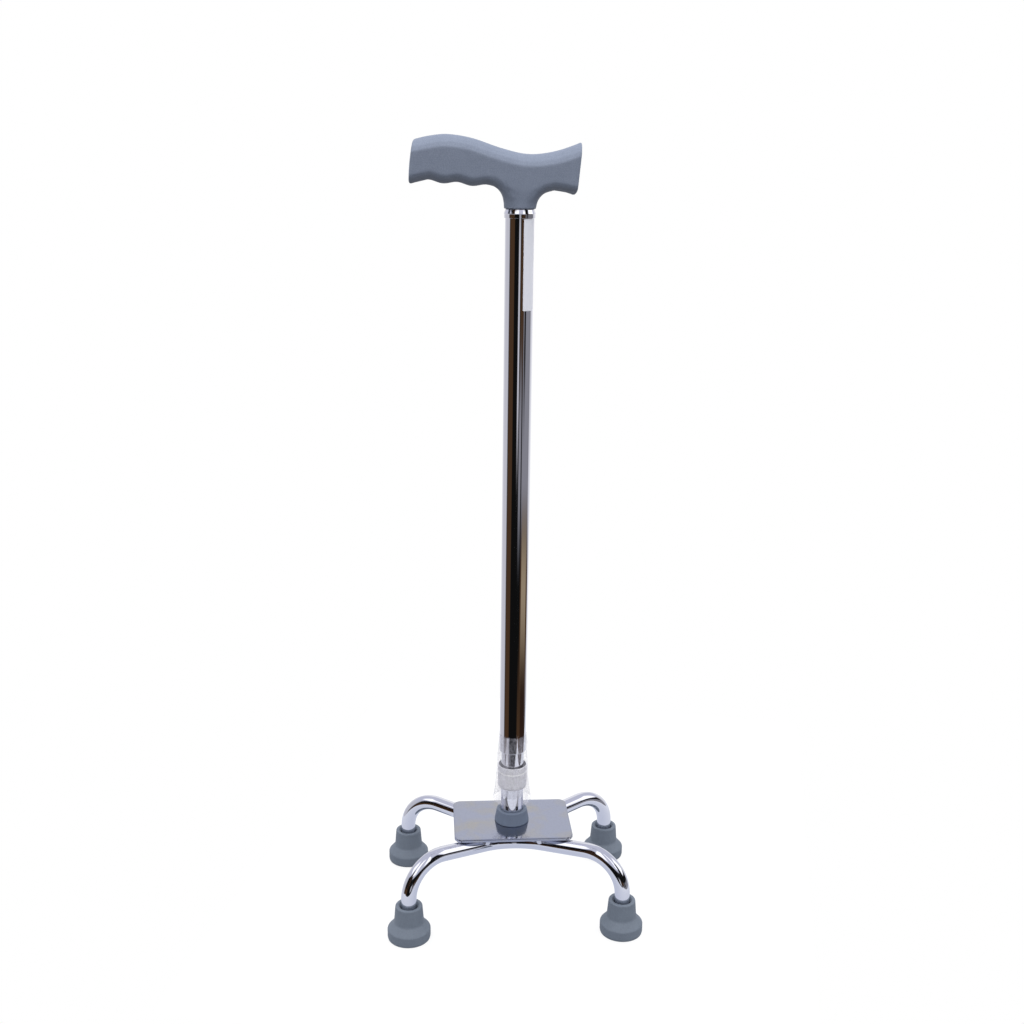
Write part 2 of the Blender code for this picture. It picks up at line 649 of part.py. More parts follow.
def walk(path, share):
    """The point at a share of a polyline's length."""
    lengths = [(b - a).length for a, b in zip(path, path[1:])]
    left = share * sum(lengths)
    for a, b, length in zip(path, path[1:], lengths):
        if left <= length:
            return a.lerp(b, left / length)
        left -= length
    return path[-1]


def distance_to(path, point):
    """Distance from a point to a polyline."""
    best = None
    for a, b in zip(path, path[1:]):
        along = b - a
        t = min(max((point - a).dot(along) / along.length_squared, 0.0), 1.0)
        gap = (point - a - along * t).length
        best = gap if best is None else min(best, gap)
    return best


def grip_columns(top, under):
    """Pairs of an underside point and a top point, from the nose to the heel. Across the stem's round
    base they are evenly spaced by angle."""
    top_shares = (0.0, 0.44, 0.57, 0.72, 0.83, 1.0)
    counts = (24, 8, 8, 8, 7)
    columns = []
    for stretch, count, start, end in zip(under, counts, top_shares, top_shares[1:]):
        for i in range(count):
            share = i / count
            if stretch is under[2]:
                share = (1.0 - math.cos(math.pi * share)) / 2.0
            columns.append((walk(stretch, share), walk(top, start + (end - start) * share)))
    columns.append((under[-1][-1], top[-1]))
    near = [columns[0][0].lerp(columns[1][0], 0.15), columns[0][1].lerp(columns[1][1], 0.15)]
    far = [columns[-1][0].lerp(columns[-2][0], 0.15), columns[-1][1].lerp(columns[-2][1], 0.15)]
    return [columns[0], near, *columns[1:-1], far, columns[-1]]


def reach_depth(start, end, edge, depth):
    """How far from start towards end a column gets to a depth below an edge of the side view."""
    place = depth
    for _ in range(4):
        gap = distance_to(edge, start.lerp(end, place / (end - start).length))
        if gap > 0.0:
            place = min(place * depth / gap, 2.0 * depth)
    return place


def evened(rows, passes=6):
    """Each number averaged with its neighbours in the lists before and after, a few times over."""
    for _ in range(passes):
        rows = [rows[0]] + [[(a + 2 * b + c) / 4 for a, b, c in zip(*three)]
                            for three in zip(rows, rows[1:], rows[2:])] + [rows[-1]]
    return rows


def grip_points(low, high, up, down):
    """One column of points up the side view: close together near the edges, wide apart between."""
    length = (high - low).length
    places = up + [(up[-1] + length - down[0]) / 2] + [length - d for d in down]
    points = []
    for place in places:
        point = low.lerp(high, place / length)
        straight_nose = NOSE_LOW[0] + (NOSE_TOP[0] - NOSE_LOW[0]) * place / length
        straight_heel = HEEL_LOW[0] + (HEEL_TOP[0] - HEEL_LOW[0]) * place / length
        near_nose = max(0.0, 1.0 - (point.x - straight_nose) / END_REACH)
        near_heel = max(0.0, 1.0 - (straight_heel - point.x) / END_REACH)
        point.x += near_nose * (nose_x(point.y) - straight_nose)
        point.x += near_heel * (heel_x(point.y) - straight_heel)
        points.append(point)
    return points


def edge_rise(distance, deep, wide, fullness):
    """How far the surface stays below the grip's side, at a distance from an edge of the side view."""
    share = min(distance / deep, 1.0)
    return wide * (1.0 - (1.0 - (1.0 - share) ** fullness) ** (1.0 / fullness))


def stem_x(path, height):
    """Where one edge of the stem is at a height. The path runs upwards."""
    path = list(path)
    for a, b in zip(path, path[1:]):
        if a.y <= height <= b.y:
            return a.lerp(b, (height - a.y) / max(b.y - a.y, 1e-9)).x
    return path[-1].x


def half_width(point, top, under):
    """Half the grip's width at a point of its side view. under leaves out the stem's base."""
    fall = edge_rise(distance_to(top, point), *TOP_EDGE)
    fall = math.hypot(fall, edge_rise(min(distance_to(part, point) for part in under), *UNDER_EDGE))
    end = min(point.x - nose_x(point.y), heel_x(point.y) - point.x)
    fall = math.hypot(fall, edge_rise(max(end, 0.0), *END_EDGE))
    body = max(GRIP_HALF_WIDTH - fall, GRIP_HALF_WIDTH - TOP_EDGE[1])
    if point.y >= STEM_BLEND:
        return body
    left = stem_x(reversed(under[1]), point.y)
    right = stem_x(under[2], point.y)
    across = min(abs(2 * point.x - left - right) / (right - left), 1.0)
    share = point.y / STEM_BLEND
    share = share * share * (3 - 2 * share)
    return STEM_R * math.sqrt(1 - across ** 2) * (1 - share) + body * share


def grip_skin():
    """Both sides of the grip over its side view, and the narrow rim between them."""
    top, under = grip_outline()
    whole = under[0] + [point for stretch in under[1:] for point in stretch[1:]]
    edge = [under[0], under[1], under[3], under[4]]
    bm = bmesh.new()
    sides = {1: [], -1: []}
    columns = grip_columns(top, under)
    ups = evened([[reach_depth(low, high, whole, depth) for depth in ROWS_FROM_UNDER]
                  for low, high in columns])
    downs = evened([[reach_depth(high, low, top, depth) for depth in ROWS_FROM_TOP]
                    for low, high in columns])
    for (low, high), up, down in zip(columns, ups, downs):
        points = grip_points(low, high, up, down)
        widths = [half_width(p, top, edge) for p in points]
        for sign in (1, -1):
            sides[sign].append([bm.verts.new((p.x, sign * w, p.y + GRIP_BASE_Z))
                                for p, w in zip(points, widths)])
    near, far = sides[1], sides[-1]
    for grid in (near, far):
        for a, b in zip(grid, grid[1:]):
            for i in range(len(a) - 1):
                bm.faces.new((a[i], b[i], b[i + 1], a[i + 1]))
    rim_near = [c[0] for c in near] + near[-1][1:] + [c[-1] for c in near[-2::-1]] + near[0][-2:0:-1]
    rim_far = [c[0] for c in far] + far[-1][1:] + [c[-1] for c in far[-2::-1]] + far[0][-2:0:-1]
    skin(bm, [rim_near, rim_far])
    bmesh.ops.remove_doubles(bm, verts=bm.verts, dist=1e-6)
    return bm


def grip():
    """The moulded grip with its finger grooves, stem and the spigot that fills the tube's top."""
    handle = add_object("grip", grip_skin(), GREY_PLASTIC)
    radius = UPPER_BORE_R - GAP
    bottom = GRIP_BASE_Z - SPIGOT_LENGTH
    spigot = [(0.0, bottom), (radius - 0.0010, bottom), (radius, bottom + 0.0010),
              (radius, GRIP_BASE_Z + 0.0040), (0.0, GRIP_BASE_Z + 0.0040)]
    boolean(handle, cutter("grip_spigot", turned_mesh(spigot, 24)), "UNION")
    screw_z = GRIP_BASE_Z - SCREW_DOWN
    tip_y = UPPER_TUBE_R + GAP - SCREW_LENGTH
    pilot = cylinder_y(SCREW_R + GAP, tip_y - GAP, UPPER_TUBE_R, screw_z)
    boolean(handle, cutter("pilot_hole_cut", pilot), "DIFFERENCE")
    head_y = UPPER_TUBE_R + GAP
    profile = [(0.0, tip_y), (SCREW_R * 0.5, tip_y), (SCREW_R, tip_y + 0.0015), (SCREW_R, head_y),
               (SCREW_HEAD_R, head_y), (SCREW_HEAD_R * 0.85, head_y + SCREW_HEAD_HEIGHT * 0.6),
               (SCREW_HEAD_R * 0.45, head_y + SCREW_HEAD_HEIGHT), (0.0, head_y + SCREW_HEAD_HEIGHT)]
    bm = turned_mesh(profile, 16)
    for vert in bm.verts:
        vert.co = Vector((vert.co.x, vert.co.z, screw_z - vert.co.y))
    add_object("grip_screw", bm, STEEL)


def ferrule():
    """A chromed band that trims the top of the tube: a rounded bead above a plain skirt."""
    inner = UPPER_TUBE_R + GAP
    top = GRIP_BASE_Z - GAP
    bottom = top - FERRULE_HEIGHT
    waist = bottom + FERRULE_HEIGHT * 0.5
    skirt_r = FERRULE_R - 0.0003
    profile = [(inner, bottom), (skirt_r, bottom), (skirt_r, waist)]
    profile += arc((FERRULE_R - FERRULE_ROUND, waist + FERRULE_ROUND), FERRULE_ROUND, -60.0, 0.0, 1)
    profile += arc((FERRULE_R - FERRULE_ROUND, top - FERRULE_ROUND), FERRULE_ROUND, 0.0, 90.0, 3)
    profile += [(inner, top)]
    turned("ferrule", profile, CHROME)


def label():
    """A bare paper strip stuck lengthways on the upper tube, just under the ferrule."""
    inner = UPPER_TUBE_R + GAP
    top = GRIP_BASE_Z - FERRULE_HEIGHT - 2 * GAP
    start, end = LABEL_FROM - 90.0, LABEL_TO - 90.0
    outline = arc((0.0, 0.0), inner + LABEL_THICK, start, end, 10) + arc((0.0, 0.0), inner, end, start, 10)
    add_object("paper_label", prism(outline, upright, top - LABEL_LENGTH, top), PAPER)


def build():
    for obj in list(bpy.data.objects):
        bpy.data.objects.remove(obj, do_unlink=True)
    leg_set(-1, "front", FRONT_FOOT_X, FRONT_KNEE_Y, FRONT_RISE, FRONT_TOUCH_X)
    leg_set(1, "rear", REAR_FOOT_X, REAR_KNEE_Y, REAR_RISE, REAR_TOUCH_X)
    base_plate()
    shaft_fixing()
    base_bush()
    lower_tube()
    snap_button()
    lock_collar()
    clear_sleeve()
    upper_tube()
    ferrule()
    grip()
    label()


build()
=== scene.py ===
"""Quad cane, dressed: a chromed telescopic shaft with a moulded grip, a satin plate, two bent leg tubes
and four rubber feet."""

import math

import bmesh
import bpy
from mathutils import Matrix, Vector


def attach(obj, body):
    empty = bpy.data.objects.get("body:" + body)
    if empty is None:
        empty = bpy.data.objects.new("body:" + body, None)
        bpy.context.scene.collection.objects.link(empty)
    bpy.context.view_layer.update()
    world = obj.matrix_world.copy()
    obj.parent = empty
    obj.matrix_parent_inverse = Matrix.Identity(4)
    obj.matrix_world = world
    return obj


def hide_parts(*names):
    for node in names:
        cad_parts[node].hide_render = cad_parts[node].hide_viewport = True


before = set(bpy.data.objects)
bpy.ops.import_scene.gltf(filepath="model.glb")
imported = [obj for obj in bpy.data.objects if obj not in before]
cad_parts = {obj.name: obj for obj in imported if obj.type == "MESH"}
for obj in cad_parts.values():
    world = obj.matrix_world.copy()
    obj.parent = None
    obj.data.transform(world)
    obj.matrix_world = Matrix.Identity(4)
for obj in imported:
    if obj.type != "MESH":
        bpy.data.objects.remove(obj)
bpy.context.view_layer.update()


# Camera and light
# A plain white studio, seen from a little above the grip. A soft dome lights the cane from overhead.
# The chrome shows what such a studio holds: the white paper sweep all round, softboxes on both sides
# of the camera, and round them the unlit room. The room is a few panels in plain tones, placed so that
# the chrome's broad stripes come where the photo has them.

def colour(hex_code):
    """An sRGB hex value as linear red, green, blue and alpha."""
    parts = [int(hex_code[i:i + 2], 16) / 255 for i in (1, 3, 5)]
    return (*[p / 12.92 if p <= 0.04045 else ((p + 0.055) / 1.055) ** 2.4 for p in parts], 1.0)


def node(tree, kind, sockets=None, stops=(), **settings):
    """Add a shader node, set it up, and set or link its inputs by name or number.

    The stops are a colour ramp's: places from 0 to 1 and their colours, the first one at 0.
    """
    made = tree.nodes.new("ShaderNode" + kind)
    for key, value in settings.items():
        setattr(made, key, value)
    for key, value in (sockets or {}).items():
        if isinstance(value, bpy.types.NodeSocket):
            tree.links.new(value, made.inputs[key])
        else:
            made.inputs[key].default_value = value
    if stops:
        elements = made.color_ramp.elements
        elements.remove(elements[1])
        elements[0].color = stops[0][1]
        for place, tone in stops[1:]:
            elements.new(place).color = tone
    return made


CAMERA_PLACE = Vector((-0.0713, -0.9665, 0.6019))
CAMERA_YAW = math.radians(-4.04)
CAMERA_PITCH = math.radians(15.03)
CAMERA_ROLL = math.radians(0.73)
CAMERA_LENS = 44.205

ahead = Vector((-math.sin(CAMERA_YAW) * math.cos(CAMERA_PITCH),
                math.cos(CAMERA_YAW) * math.cos(CAMERA_PITCH), -math.sin(CAMERA_PITCH)))
level = Vector((math.cos(CAMERA_YAW), math.sin(CAMERA_YAW), 0.0))
upward = level.cross(ahead)
right = level * math.cos(CAMERA_ROLL) + upward * math.sin(CAMERA_ROLL)
upward = upward * math.cos(CAMERA_ROLL) - level * math.sin(CAMERA_ROLL)
camera = bpy.data.objects.new("camera", bpy.data.cameras.new("camera"))
bpy.context.scene.collection.objects.link(camera)
camera.matrix_world = Matrix.Translation(CAMERA_PLACE) @ Matrix((right, upward, -ahead)).transposed().to_4x4()
camera.data.lens = CAMERA_LENS
camera.data.clip_start = 0.01
bpy.context.scene.camera = camera
bpy.context.scene.view_settings.view_transform = "Standard"

DOME = (   # sine of the height, and the light that comes from there
    (-1.0, 0.02), (-0.05, 0.04), (0.0, 0.15), (0.10, 1.20), (0.50, 1.62), (1.0, 1.75),
)
DOME_FULL = 2.0         # the dome's ramp holds its light as a share of this
DOME_BLUE = 1.03        # blue in that light, against its red and green
WHITE = "#F4F4F8"       # the room's panels are painted in these few plain tones
PALE = "#C8C8D0"
GREY = "#888890"
UNLIT = "#101010"
LIT_WOOD = "#988870"
WOOD = "#483424"
DARK_WOOD = "#302018"
SWEEP = (   # degrees round from the camera's side towards +X: the paper sweep behind, open to the front
    (-180, WHITE), (-125, PALE), (-92, PALE), (-84, UNLIT), (104, UNLIT), (112, PALE), (145, WHITE),
    (180, WHITE),
)
THINGS = (   # degrees round, from and to; degrees up, from and to; tone
    (-82, -42, -60, 0, WOOD),           # a cupboard on the left
    (-60, -32, 0, 60, DARK_WOOD),       # and the wall over it
    (-6, 6, -12, -1, PALE),             # a bright doorway at the room's far end
    (12, 40, -9, -1, WOOD),             # a shelf beside it
    (13, 31, -16, -9, GREY),            # and a box under the shelf
    (40, 104, -16, -1, GREY),           # a pale wall on the right
    (46, 60, -10, -1, UNLIT),           # with a dark doorway in it
    (40, 124, -23, -16, WOOD),          # the wooden floor
    (50, 102, -21, -16, LIT_WOOD),      # lit in one place
    (28, 58, -60, -23, WOOD),           # and its boards nearer by
    (58, 132, -60, -23, DARK_WOOD),
)
WALL_TOPS = (   # degrees round, degrees up to the top of the wall there
    (-180, 44), (-166, 40), (-158, 12), (-100, 14), (-66, 32), (-58, 46), (-34, 46), (-28, 21),
    (34, 21), (42, 46), (60, 46), (66, 16), (116, 14), (158, 12), (166, 40), (180, 44),
)
SOFTBOXES = (   # degrees round, from and to; degrees up, from and to
    (-112, -72, 32, 58), (-44, -12, 30, 76), (22, 40, 30, 76), (68, 108, 15, 50),
)
SOFTBOX_LIGHT = (1.35, 1.35, 1.377, 1.0)    # linear, and brighter than white
CEILING = "#C8CADA"
WALL_EDGE = 3.0         # degrees, to either side, in which the wall gives way to the ceiling
BOX_EDGES = (2.5, 3.0)  # and a softbox to what is round it, sideways and upwards
THING_EDGES = (3.0, 2.5)    # and a thing in the room

world = bpy.data.worlds.new("studio")
bpy.context.scene.world = world
world.use_nodes = True
tree = world.node_tree
tree.nodes.clear()


def span(tree, value, low, high, blur):
    """A soft-edged band: 1 where a value lies between two others."""
    enter = node(tree, "MapRange", {0: value, 1: low - blur, 2: low + blur}, interpolation_type="SMOOTHSTEP")
    leave = node(tree, "MapRange", {0: value, 1: high + blur, 2: high - blur},
                 interpolation_type="SMOOTHSTEP")
    return node(tree, "Math", {0: enter.outputs[0], 1: leave.outputs[0]}, operation="MULTIPLY").outputs[0]


def panel(tree, behind, way, sides, heights, edges, tone):
    """Put a soft-edged panel of one tone before what is there. The way is the turn and rise of a ray."""
    inside = node(tree, "Math", {
        0: span(tree, way[0], *sides, edges[0]), 1: span(tree, way[1], *heights, edges[1]),
    }, operation="MULTIPLY")
    return node(tree, "Mix", {0: inside.outputs[0], 6: behind, 7: tone}, data_type="RGBA").outputs[2]


parts = node(tree, "SeparateXYZ", {0: node(tree, "TexCoord").outputs["Generated"]})
climb = node(tree, "MapRange", {0: parts.outputs["Z"], 1: -1.0, 2: 1.0}).outputs[0]
dome = node(tree, "ValToRGB", {0: climb}, stops=[
    ((sine + 1.0) / 2.0, (light / DOME_FULL, light / DOME_FULL, light / DOME_FULL * DOME_BLUE, 1.0))
    for sine, light in DOME
]).outputs[0]

facing = node(tree, "Math", {0: parts.outputs["Y"], 1: -1.0}, operation="MULTIPLY")
turn = node(tree, "Math", {0: parts.outputs["X"], 1: facing.outputs[0]}, operation="ARCTAN2")
turn = node(tree, "Math", {0: turn.outputs[0]}, operation="DEGREES").outputs[0]
rise = node(tree, "Math", {0: parts.outputs["Z"]}, operation="ARCSINE")
rise = node(tree, "Math", {0: rise.outputs[0]}, operation="DEGREES").outputs[0]
circle = node(tree, "MapRange", {0: turn, 1: -180.0, 2: 180.0}).outputs[0]
walls = node(tree, "ValToRGB", {0: circle}, stops=[
    ((degrees + 180.0) / 360.0, colour(tone)) for degrees, tone in SWEEP
]).outputs[0]
for left_end, right_end, low, high, tone in THINGS:
    walls = panel(tree, walls, (turn, rise), (left_end, right_end), (low, high), THING_EDGES, colour(tone))
wall_top = node(tree, "ValToRGB", {0: circle},
                stops=[((degrees + 180.0) / 360.0, (top / 90.0, top / 90.0, top / 90.0, 1.0))
                       for degrees, top in WALL_TOPS]).outputs[0]
wall_top = node(tree, "Math", {0: wall_top, 1: 90.0}, operation="MULTIPLY")
over = node(tree, "Math", {0: rise, 1: wall_top.outputs[0]}, operation="SUBTRACT")
over = node(tree, "MapRange", {0: over.outputs[0], 1: -WALL_EDGE, 2: WALL_EDGE},
            interpolation_type="SMOOTHSTEP")
lamps = node(tree, "Mix", {0: over.outputs[0], 6: walls, 7: colour(CEILING)}, data_type="RGBA").outputs[2]
for left_end, right_end, low, high in SOFTBOXES:
    lamps = panel(tree, lamps, (turn, rise), (left_end, right_end), (low, high), BOX_EDGES, SOFTBOX_LIGHT)
seen = node(tree, "LightPath")
mirrored = node(tree, "Background", {0: lamps, 1: 1.0})
lighting = node(tree, "Background", {0: dome, 1: DOME_FULL})
backdrop = node(tree, "Background", {0: (1.0, 1.0, 1.0, 1.0), 1: 1.0})
lit = node(tree, "MixShader", {
    0: seen.outputs["Is Glossy Ray"], 1: lighting.outputs[0], 2: mirrored.outputs[0],
})
plain = node(tree, "Math", {0: seen.outputs["Is Camera Ray"], 1: seen.outputs["Is Transmission Ray"]},
             operation="MAXIMUM")
shown = node(tree, "MixShader", {0: plain.outputs[0], 1: lit.outputs[0], 2: backdrop.outputs[0]})
node(tree, "OutputWorld", {0: shown.outputs[0]})


# Floor
# A sheet of matt white paper, laid a little askew. The camera sees it white, with the cane's soft
# shadow, and the chrome sees it bluish, with painted shade that darkens it close to the cane.

SHEET = (0.485, 0.618)
SHEET_CENTRE = (0.0368, 0.0923, -0.0002)
SHEET_TURN = math.radians(-14.3)
SHEET_TONE = (0.58, 0.58, 0.58, 1.0)        # the part of the paper that takes the cane's shadow
SHEET_GLOW = 1.15                           # strength of the plain white mixed with it
GLOW_SHARE = 0.72
SHEET_BOUNCE = (0.16, 0.16, 0.17, 1.0)      # what little the paper throws back on the cane
PAINTED_SHADE_NEAR = ("#CBD0E0", 0.06)           # painted shade: the paper's colour in the chrome, this far from the shaft
PAINTED_SHADE_FAR = ("#E8EBF4", 0.28)


def empty_material(name):
    """A new material and its shader tree, with nothing in it yet."""
    made = bpy.data.materials.new(name)
    made.use_nodes = True
    made.node_tree.nodes.clear()
    return made, made.node_tree


bpy.ops.object.select_all(action="DESELECT")
bpy.ops.mesh.primitive_plane_add(size=1.0, location=SHEET_CENTRE, rotation=(0, 0, SHEET_TURN))
floor = bpy.context.object
floor.name = "floor"
floor.scale = (*SHEET, 1.0)
bpy.ops.object.transform_apply(location=True, rotation=True, scale=True)
paper, tree = empty_material("matt white paper")
seen = node(tree, "LightPath")
bounced = node(tree, "BsdfDiffuse", {0: SHEET_BOUNCE})
sheet = node(tree, "BsdfDiffuse", {0: SHEET_TONE})
glow = node(tree, "Emission", {0: (1.0, 1.0, 1.0, 1.0), 1: SHEET_GLOW})
white = node(tree, "MixShader", {0: GLOW_SHARE, 1: sheet.outputs[0], 2: glow.outputs[0]})
reach = node(tree, "VectorMath", {0: node(tree, "TexCoord").outputs["Object"]}, operation="LENGTH")
reach = node(tree, "MapRange", {0: reach.outputs["Value"], 1: PAINTED_SHADE_NEAR[1], 2: PAINTED_SHADE_FAR[1]})
# painted shade: in the chrome the paper is painted darker towards the shaft
shade = node(tree, "Mix", {
    0: reach.outputs[0], 6: colour(PAINTED_SHADE_NEAR[0]), 7: colour(PAINTED_SHADE_FAR[0]),
}, data_type="RGBA")
mirrored = node(tree, "Emission", {0: shade.outputs[2], 1: 1.0})
look = node(tree, "MixShader", {
    0: seen.outputs["Is Diffuse Ray"], 1: white.outputs[0], 2: bounced.outputs[0],
})
look = node(tree, "MixShader", {
    0: seen.outputs["Is Glossy Ray"], 1: look.outputs[0], 2: mirrored.outputs[0],
})
under = node(tree, "NewGeometry").outputs["Backfacing"]     # nothing of the sheet is seen from below
look = node(tree, "MixShader", {0: under, 1: look.outputs[0], 2: node(tree, "BsdfTransparent").outputs[0]})
node(tree, "OutputMaterial", {0: look.outputs[0]})
floor.data.materials.append(paper)


# Leg tubes
# Two lengths of 12.5 mm steel tube, each bent cold in three places, so that it drops into a foot at
# either end and touches the plate's corners from below. Plated with bright chrome after welding.

LEG_R = 0.00625
LEG_WALL = 0.0010
LEG_END_Z = 0.0081
PLATE_UNDER_Z = 0.0676
TOUCH_GAP = 0.0003          # left between arm and plate, so that they don't cut into each other
TOUCH_Z = PLATE_UNDER_Z - TOUCH_GAP - LEG_R     # an arm's centre line where it touches the plate
FOOT_Y = 0.0613
LEG_BEND_R = 0.0298
CROWN_R = 0.0410
RING_STEP = 4.0             # degrees of a bend from one ring of faces to the next
SMOOTH_ANGLE = math.radians(40)     # an edge sharper than this stays sharp in the shading
BOWS = (   # name, side, foot's x, knee's y, rise of an arm along x, x where it touches
    ("front", -1, 0.0871, 0.0019, 0.168, 0.0457),
    ("rear", 1, 0.0889, 0.0034, 0.087, 0.0449),
)


def scale_of(millimetres):
    """A noise texture's scale for a pattern that comes once in so many millimetres."""
    return 1000.0 / millimetres


def chrome_plate(name, roughness, tone, ripple):
    """Bright chrome on steel: a mirror, softened by the faint upright ripple of drawn tube.

    The ripple is 2.4 mm wide and fifty times as long, and slow clouds of 17 mm haze the mirror a little.
    """
    made, tree = empty_material(name)
    place = node(tree, "TexCoord").outputs["Object"]
    drawn = node(tree, "Mapping", {0: place, 3: (1.0, 1.0, 0.02)})
    waver = node(tree, "TexNoise", {"Vector": drawn.outputs[0], "Scale": scale_of(2.38), "Detail": 2.0})
    haze = node(tree, "TexNoise", {"Vector": place, "Scale": scale_of(16.7), "Detail": 4.0})
    dull = node(tree, "MapRange", {
        0: haze.outputs[0], 1: 0.35, 2: 0.75, 3: roughness * 0.8, 4: roughness * 1.5,
    })
    bump = node(tree, "Bump", {"Height": waver.outputs[0], "Strength": ripple, "Distance": 0.0001})
    shader = node(tree, "BsdfPrincipled", {
        "Base Color": colour(tone), "Metallic": 1.0, "Roughness": dull.outputs[0], "Normal": bump.outputs[0],
    })
    node(tree, "OutputMaterial", {0: shader.outputs[0]})
    return made


def bend_tube(corners, radii):
    """Push a ring along the straight lengths and spin it round each bend, as a tube bender does."""
    bpy.ops.object.select_all(action="DESELECT")
    bpy.ops.mesh.primitive_circle_add(vertices=48, radius=LEG_R, location=corners[0])
    bpy.ops.object.mode_set(mode="EDIT")
    bpy.ops.mesh.select_all(action="SELECT")
    here = corners[0]
    for before, corner, after, radius in zip(corners, corners[1:], corners[2:], radii):
        back = (before - corner).normalized()
        onward = (after - corner).normalized()
        half = back.angle(onward) / 2
        reach = radius / math.tan(half)
        centre = corner + (back + onward).normalized() * radius / math.sin(half)
        start = corner + back * reach
        end = corner + onward * reach
        bpy.ops.mesh.extrude_region_move(TRANSFORM_OT_translate={"value": start - here})
        axis = (start - centre).cross(end - centre).normalized()
        sweep = math.pi - 2 * half
        steps = max(6, round(math.degrees(sweep) / RING_STEP))
        bpy.ops.mesh.spin(steps=steps, angle=-sweep, center=centre, axis=axis)
        here = end
    bpy.ops.mesh.extrude_region_move(TRANSFORM_OT_translate={"value": corners[-1] - here})
    bpy.ops.mesh.select_all(action="SELECT")
    bpy.ops.mesh.normals_make_consistent(inside=False)
    bpy.ops.object.mode_set(mode="OBJECT")
    bpy.ops.object.transform_apply(location=True, rotation=True, scale=True)
    return bpy.context.object


def apply(obj, kind, **settings):
    """Add a modifier, set it up and apply it."""
    bpy.context.view_layer.objects.active = obj
    made = obj.modifiers.new(kind.title(), kind)
    for key, value in settings.items():
        setattr(made, key, value)
    bpy.ops.object.modifier_apply(modifier=made.name)


bright_chrome = chrome_plate("bright chrome on bent steel tube", 0.050, "#E6E7EE", 0.05)
for name, hand, foot_x, knee_y, rise_x, touch_x in BOWS:
    shoulder_z = TOUCH_Z + rise_x * (foot_x - touch_x)
    knee = Vector((0.0, hand * knee_y, TOUCH_Z - rise_x * touch_x))
    ends = [Vector((foot_x, hand * FOOT_Y, shoulder_z)), Vector((foot_x, hand * FOOT_Y, LEG_END_Z))]
    corners = [Vector((-p.x, p.y, p.z)) for p in reversed(ends)] + [knee] + ends
    bow = bend_tube(corners, (LEG_BEND_R, CROWN_R, LEG_BEND_R))
    bow.name = name + "_bow"
    apply(bow, "SOLIDIFY", thickness=LEG_WALL, offset=-1.0)
    bpy.ops.object.shade_smooth_by_angle(angle=SMOOTH_ANGLE)
    bow.data.materials.append(bright_chrome)
    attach(bow, "base")
    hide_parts(name + "_leg_tube")


# Feet
# Compression-moulded rubber ferrules pushed on to the tube ends: a treaded base, a straight skirt, a
# cone up to the neck, and an eased mouth. The rubber is blue-grey and matt, a little paler where it
# has been handled. The steel disc in each one keeps the tube from cutting through.

FOOT_SECTION = (   # radius, height, corner radius
    (0.0, 0.0, 0), (0.0065, 0.0, 0.0002), (0.0067, 0.0012, 0.0002), (0.0083, 0.0012, 0.0002),
    (0.0085, 0.0, 0.0002), (0.0108, 0.0, 0.0002), (0.0110, 0.0012, 0.0002), (0.0126, 0.0012, 0.0002),
    (0.0128, 0.0, 0.0002), (0.0171, 0.0, 0.0005), (0.0173, 0.0014, 0.0002), (0.0175, 0.0018, 0.0002),
    (0.0175, 0.0026, 0), (0.0175, 0.0073, 0), (0.0175, 0.0084, 0.0006), (0.0168, 0.0092, 0),
    (0.0129, 0.0136, 0), (0.0122, 0.0144, 0.0007), (0.0120, 0.0160, 0), (0.0111, 0.0272, 0),
    (0.0109, 0.0290, 0.0009), (0.0082, 0.0290, 0.0006), (0.00665, 0.0268, 0.0004),
    (0.00655, 0.0060, 0.0004), (0.0, 0.0060, 0),
)


def lathe(section, steps=96, angle=math.tau, start=0.0):
    """Draw half a section point by point, round its corners, and spin it about the Z axis."""
    bpy.ops.object.select_all(action="DESELECT")
    bpy.ops.mesh.primitive_plane_add(size=0.001, location=(section[0][0], 0.0, section[0][1]))
    bpy.ops.object.mode_set(mode="EDIT")
    bpy.ops.mesh.merge(type="CENTER")
    obj = bpy.context.object
    for before, after in zip(section, section[1:]):
        step = (after[0] - before[0], 0.0, after[1] - before[1])
        bpy.ops.mesh.extrude_region_move(TRANSFORM_OT_translate={"value": step})
    bpy.ops.object.mode_set(mode="OBJECT")
    bpy.ops.object.transform_apply(location=True, rotation=True, scale=True)
    bpy.ops.object.mode_set(mode="EDIT")
    bpy.ops.mesh.select_mode(type="VERT")
    bpy.ops.mesh.select_all(action="SELECT")
    bpy.ops.mesh.remove_doubles(threshold=1e-7)
    for radius, height, corner in section:
        if corner:
            bpy.ops.mesh.select_all(action="DESELECT")
            bm = bmesh.from_edit_mesh(obj.data)
            for vert in bm.verts:
                if (vert.co - Vector((radius, 0.0, height))).length < 1e-6:
                    vert.select_set(True)
            bmesh.update_edit_mesh(obj.data)
            bpy.ops.mesh.bevel(offset=corner, segments=4, affect="VERTICES")
    bpy.ops.mesh.select_all(action="SELECT")
    if start:
        bpy.ops.transform.rotate(value=-start, orient_axis="Z", center_override=(0.0, 0.0, 0.0))
    bpy.ops.mesh.spin(steps=steps, angle=angle, center=(0.0, 0.0, 0.0), axis=(0.0, 0.0, 1.0))
    bpy.ops.mesh.select_all(action="SELECT")
    bpy.ops.mesh.remove_doubles(threshold=1e-7)
    bpy.ops.mesh.normals_make_consistent(inside=False)
    bpy.ops.object.mode_set(mode="OBJECT")
    bpy.ops.object.shade_smooth_by_angle(angle=SMOOTH_ANGLE)
    return obj


def pick(obj):
    """Select one object alone, and make it the active one."""
    bpy.ops.object.select_all(action="DESELECT")
    obj.select_set(True)
    bpy.context.view_layer.objects.active = obj


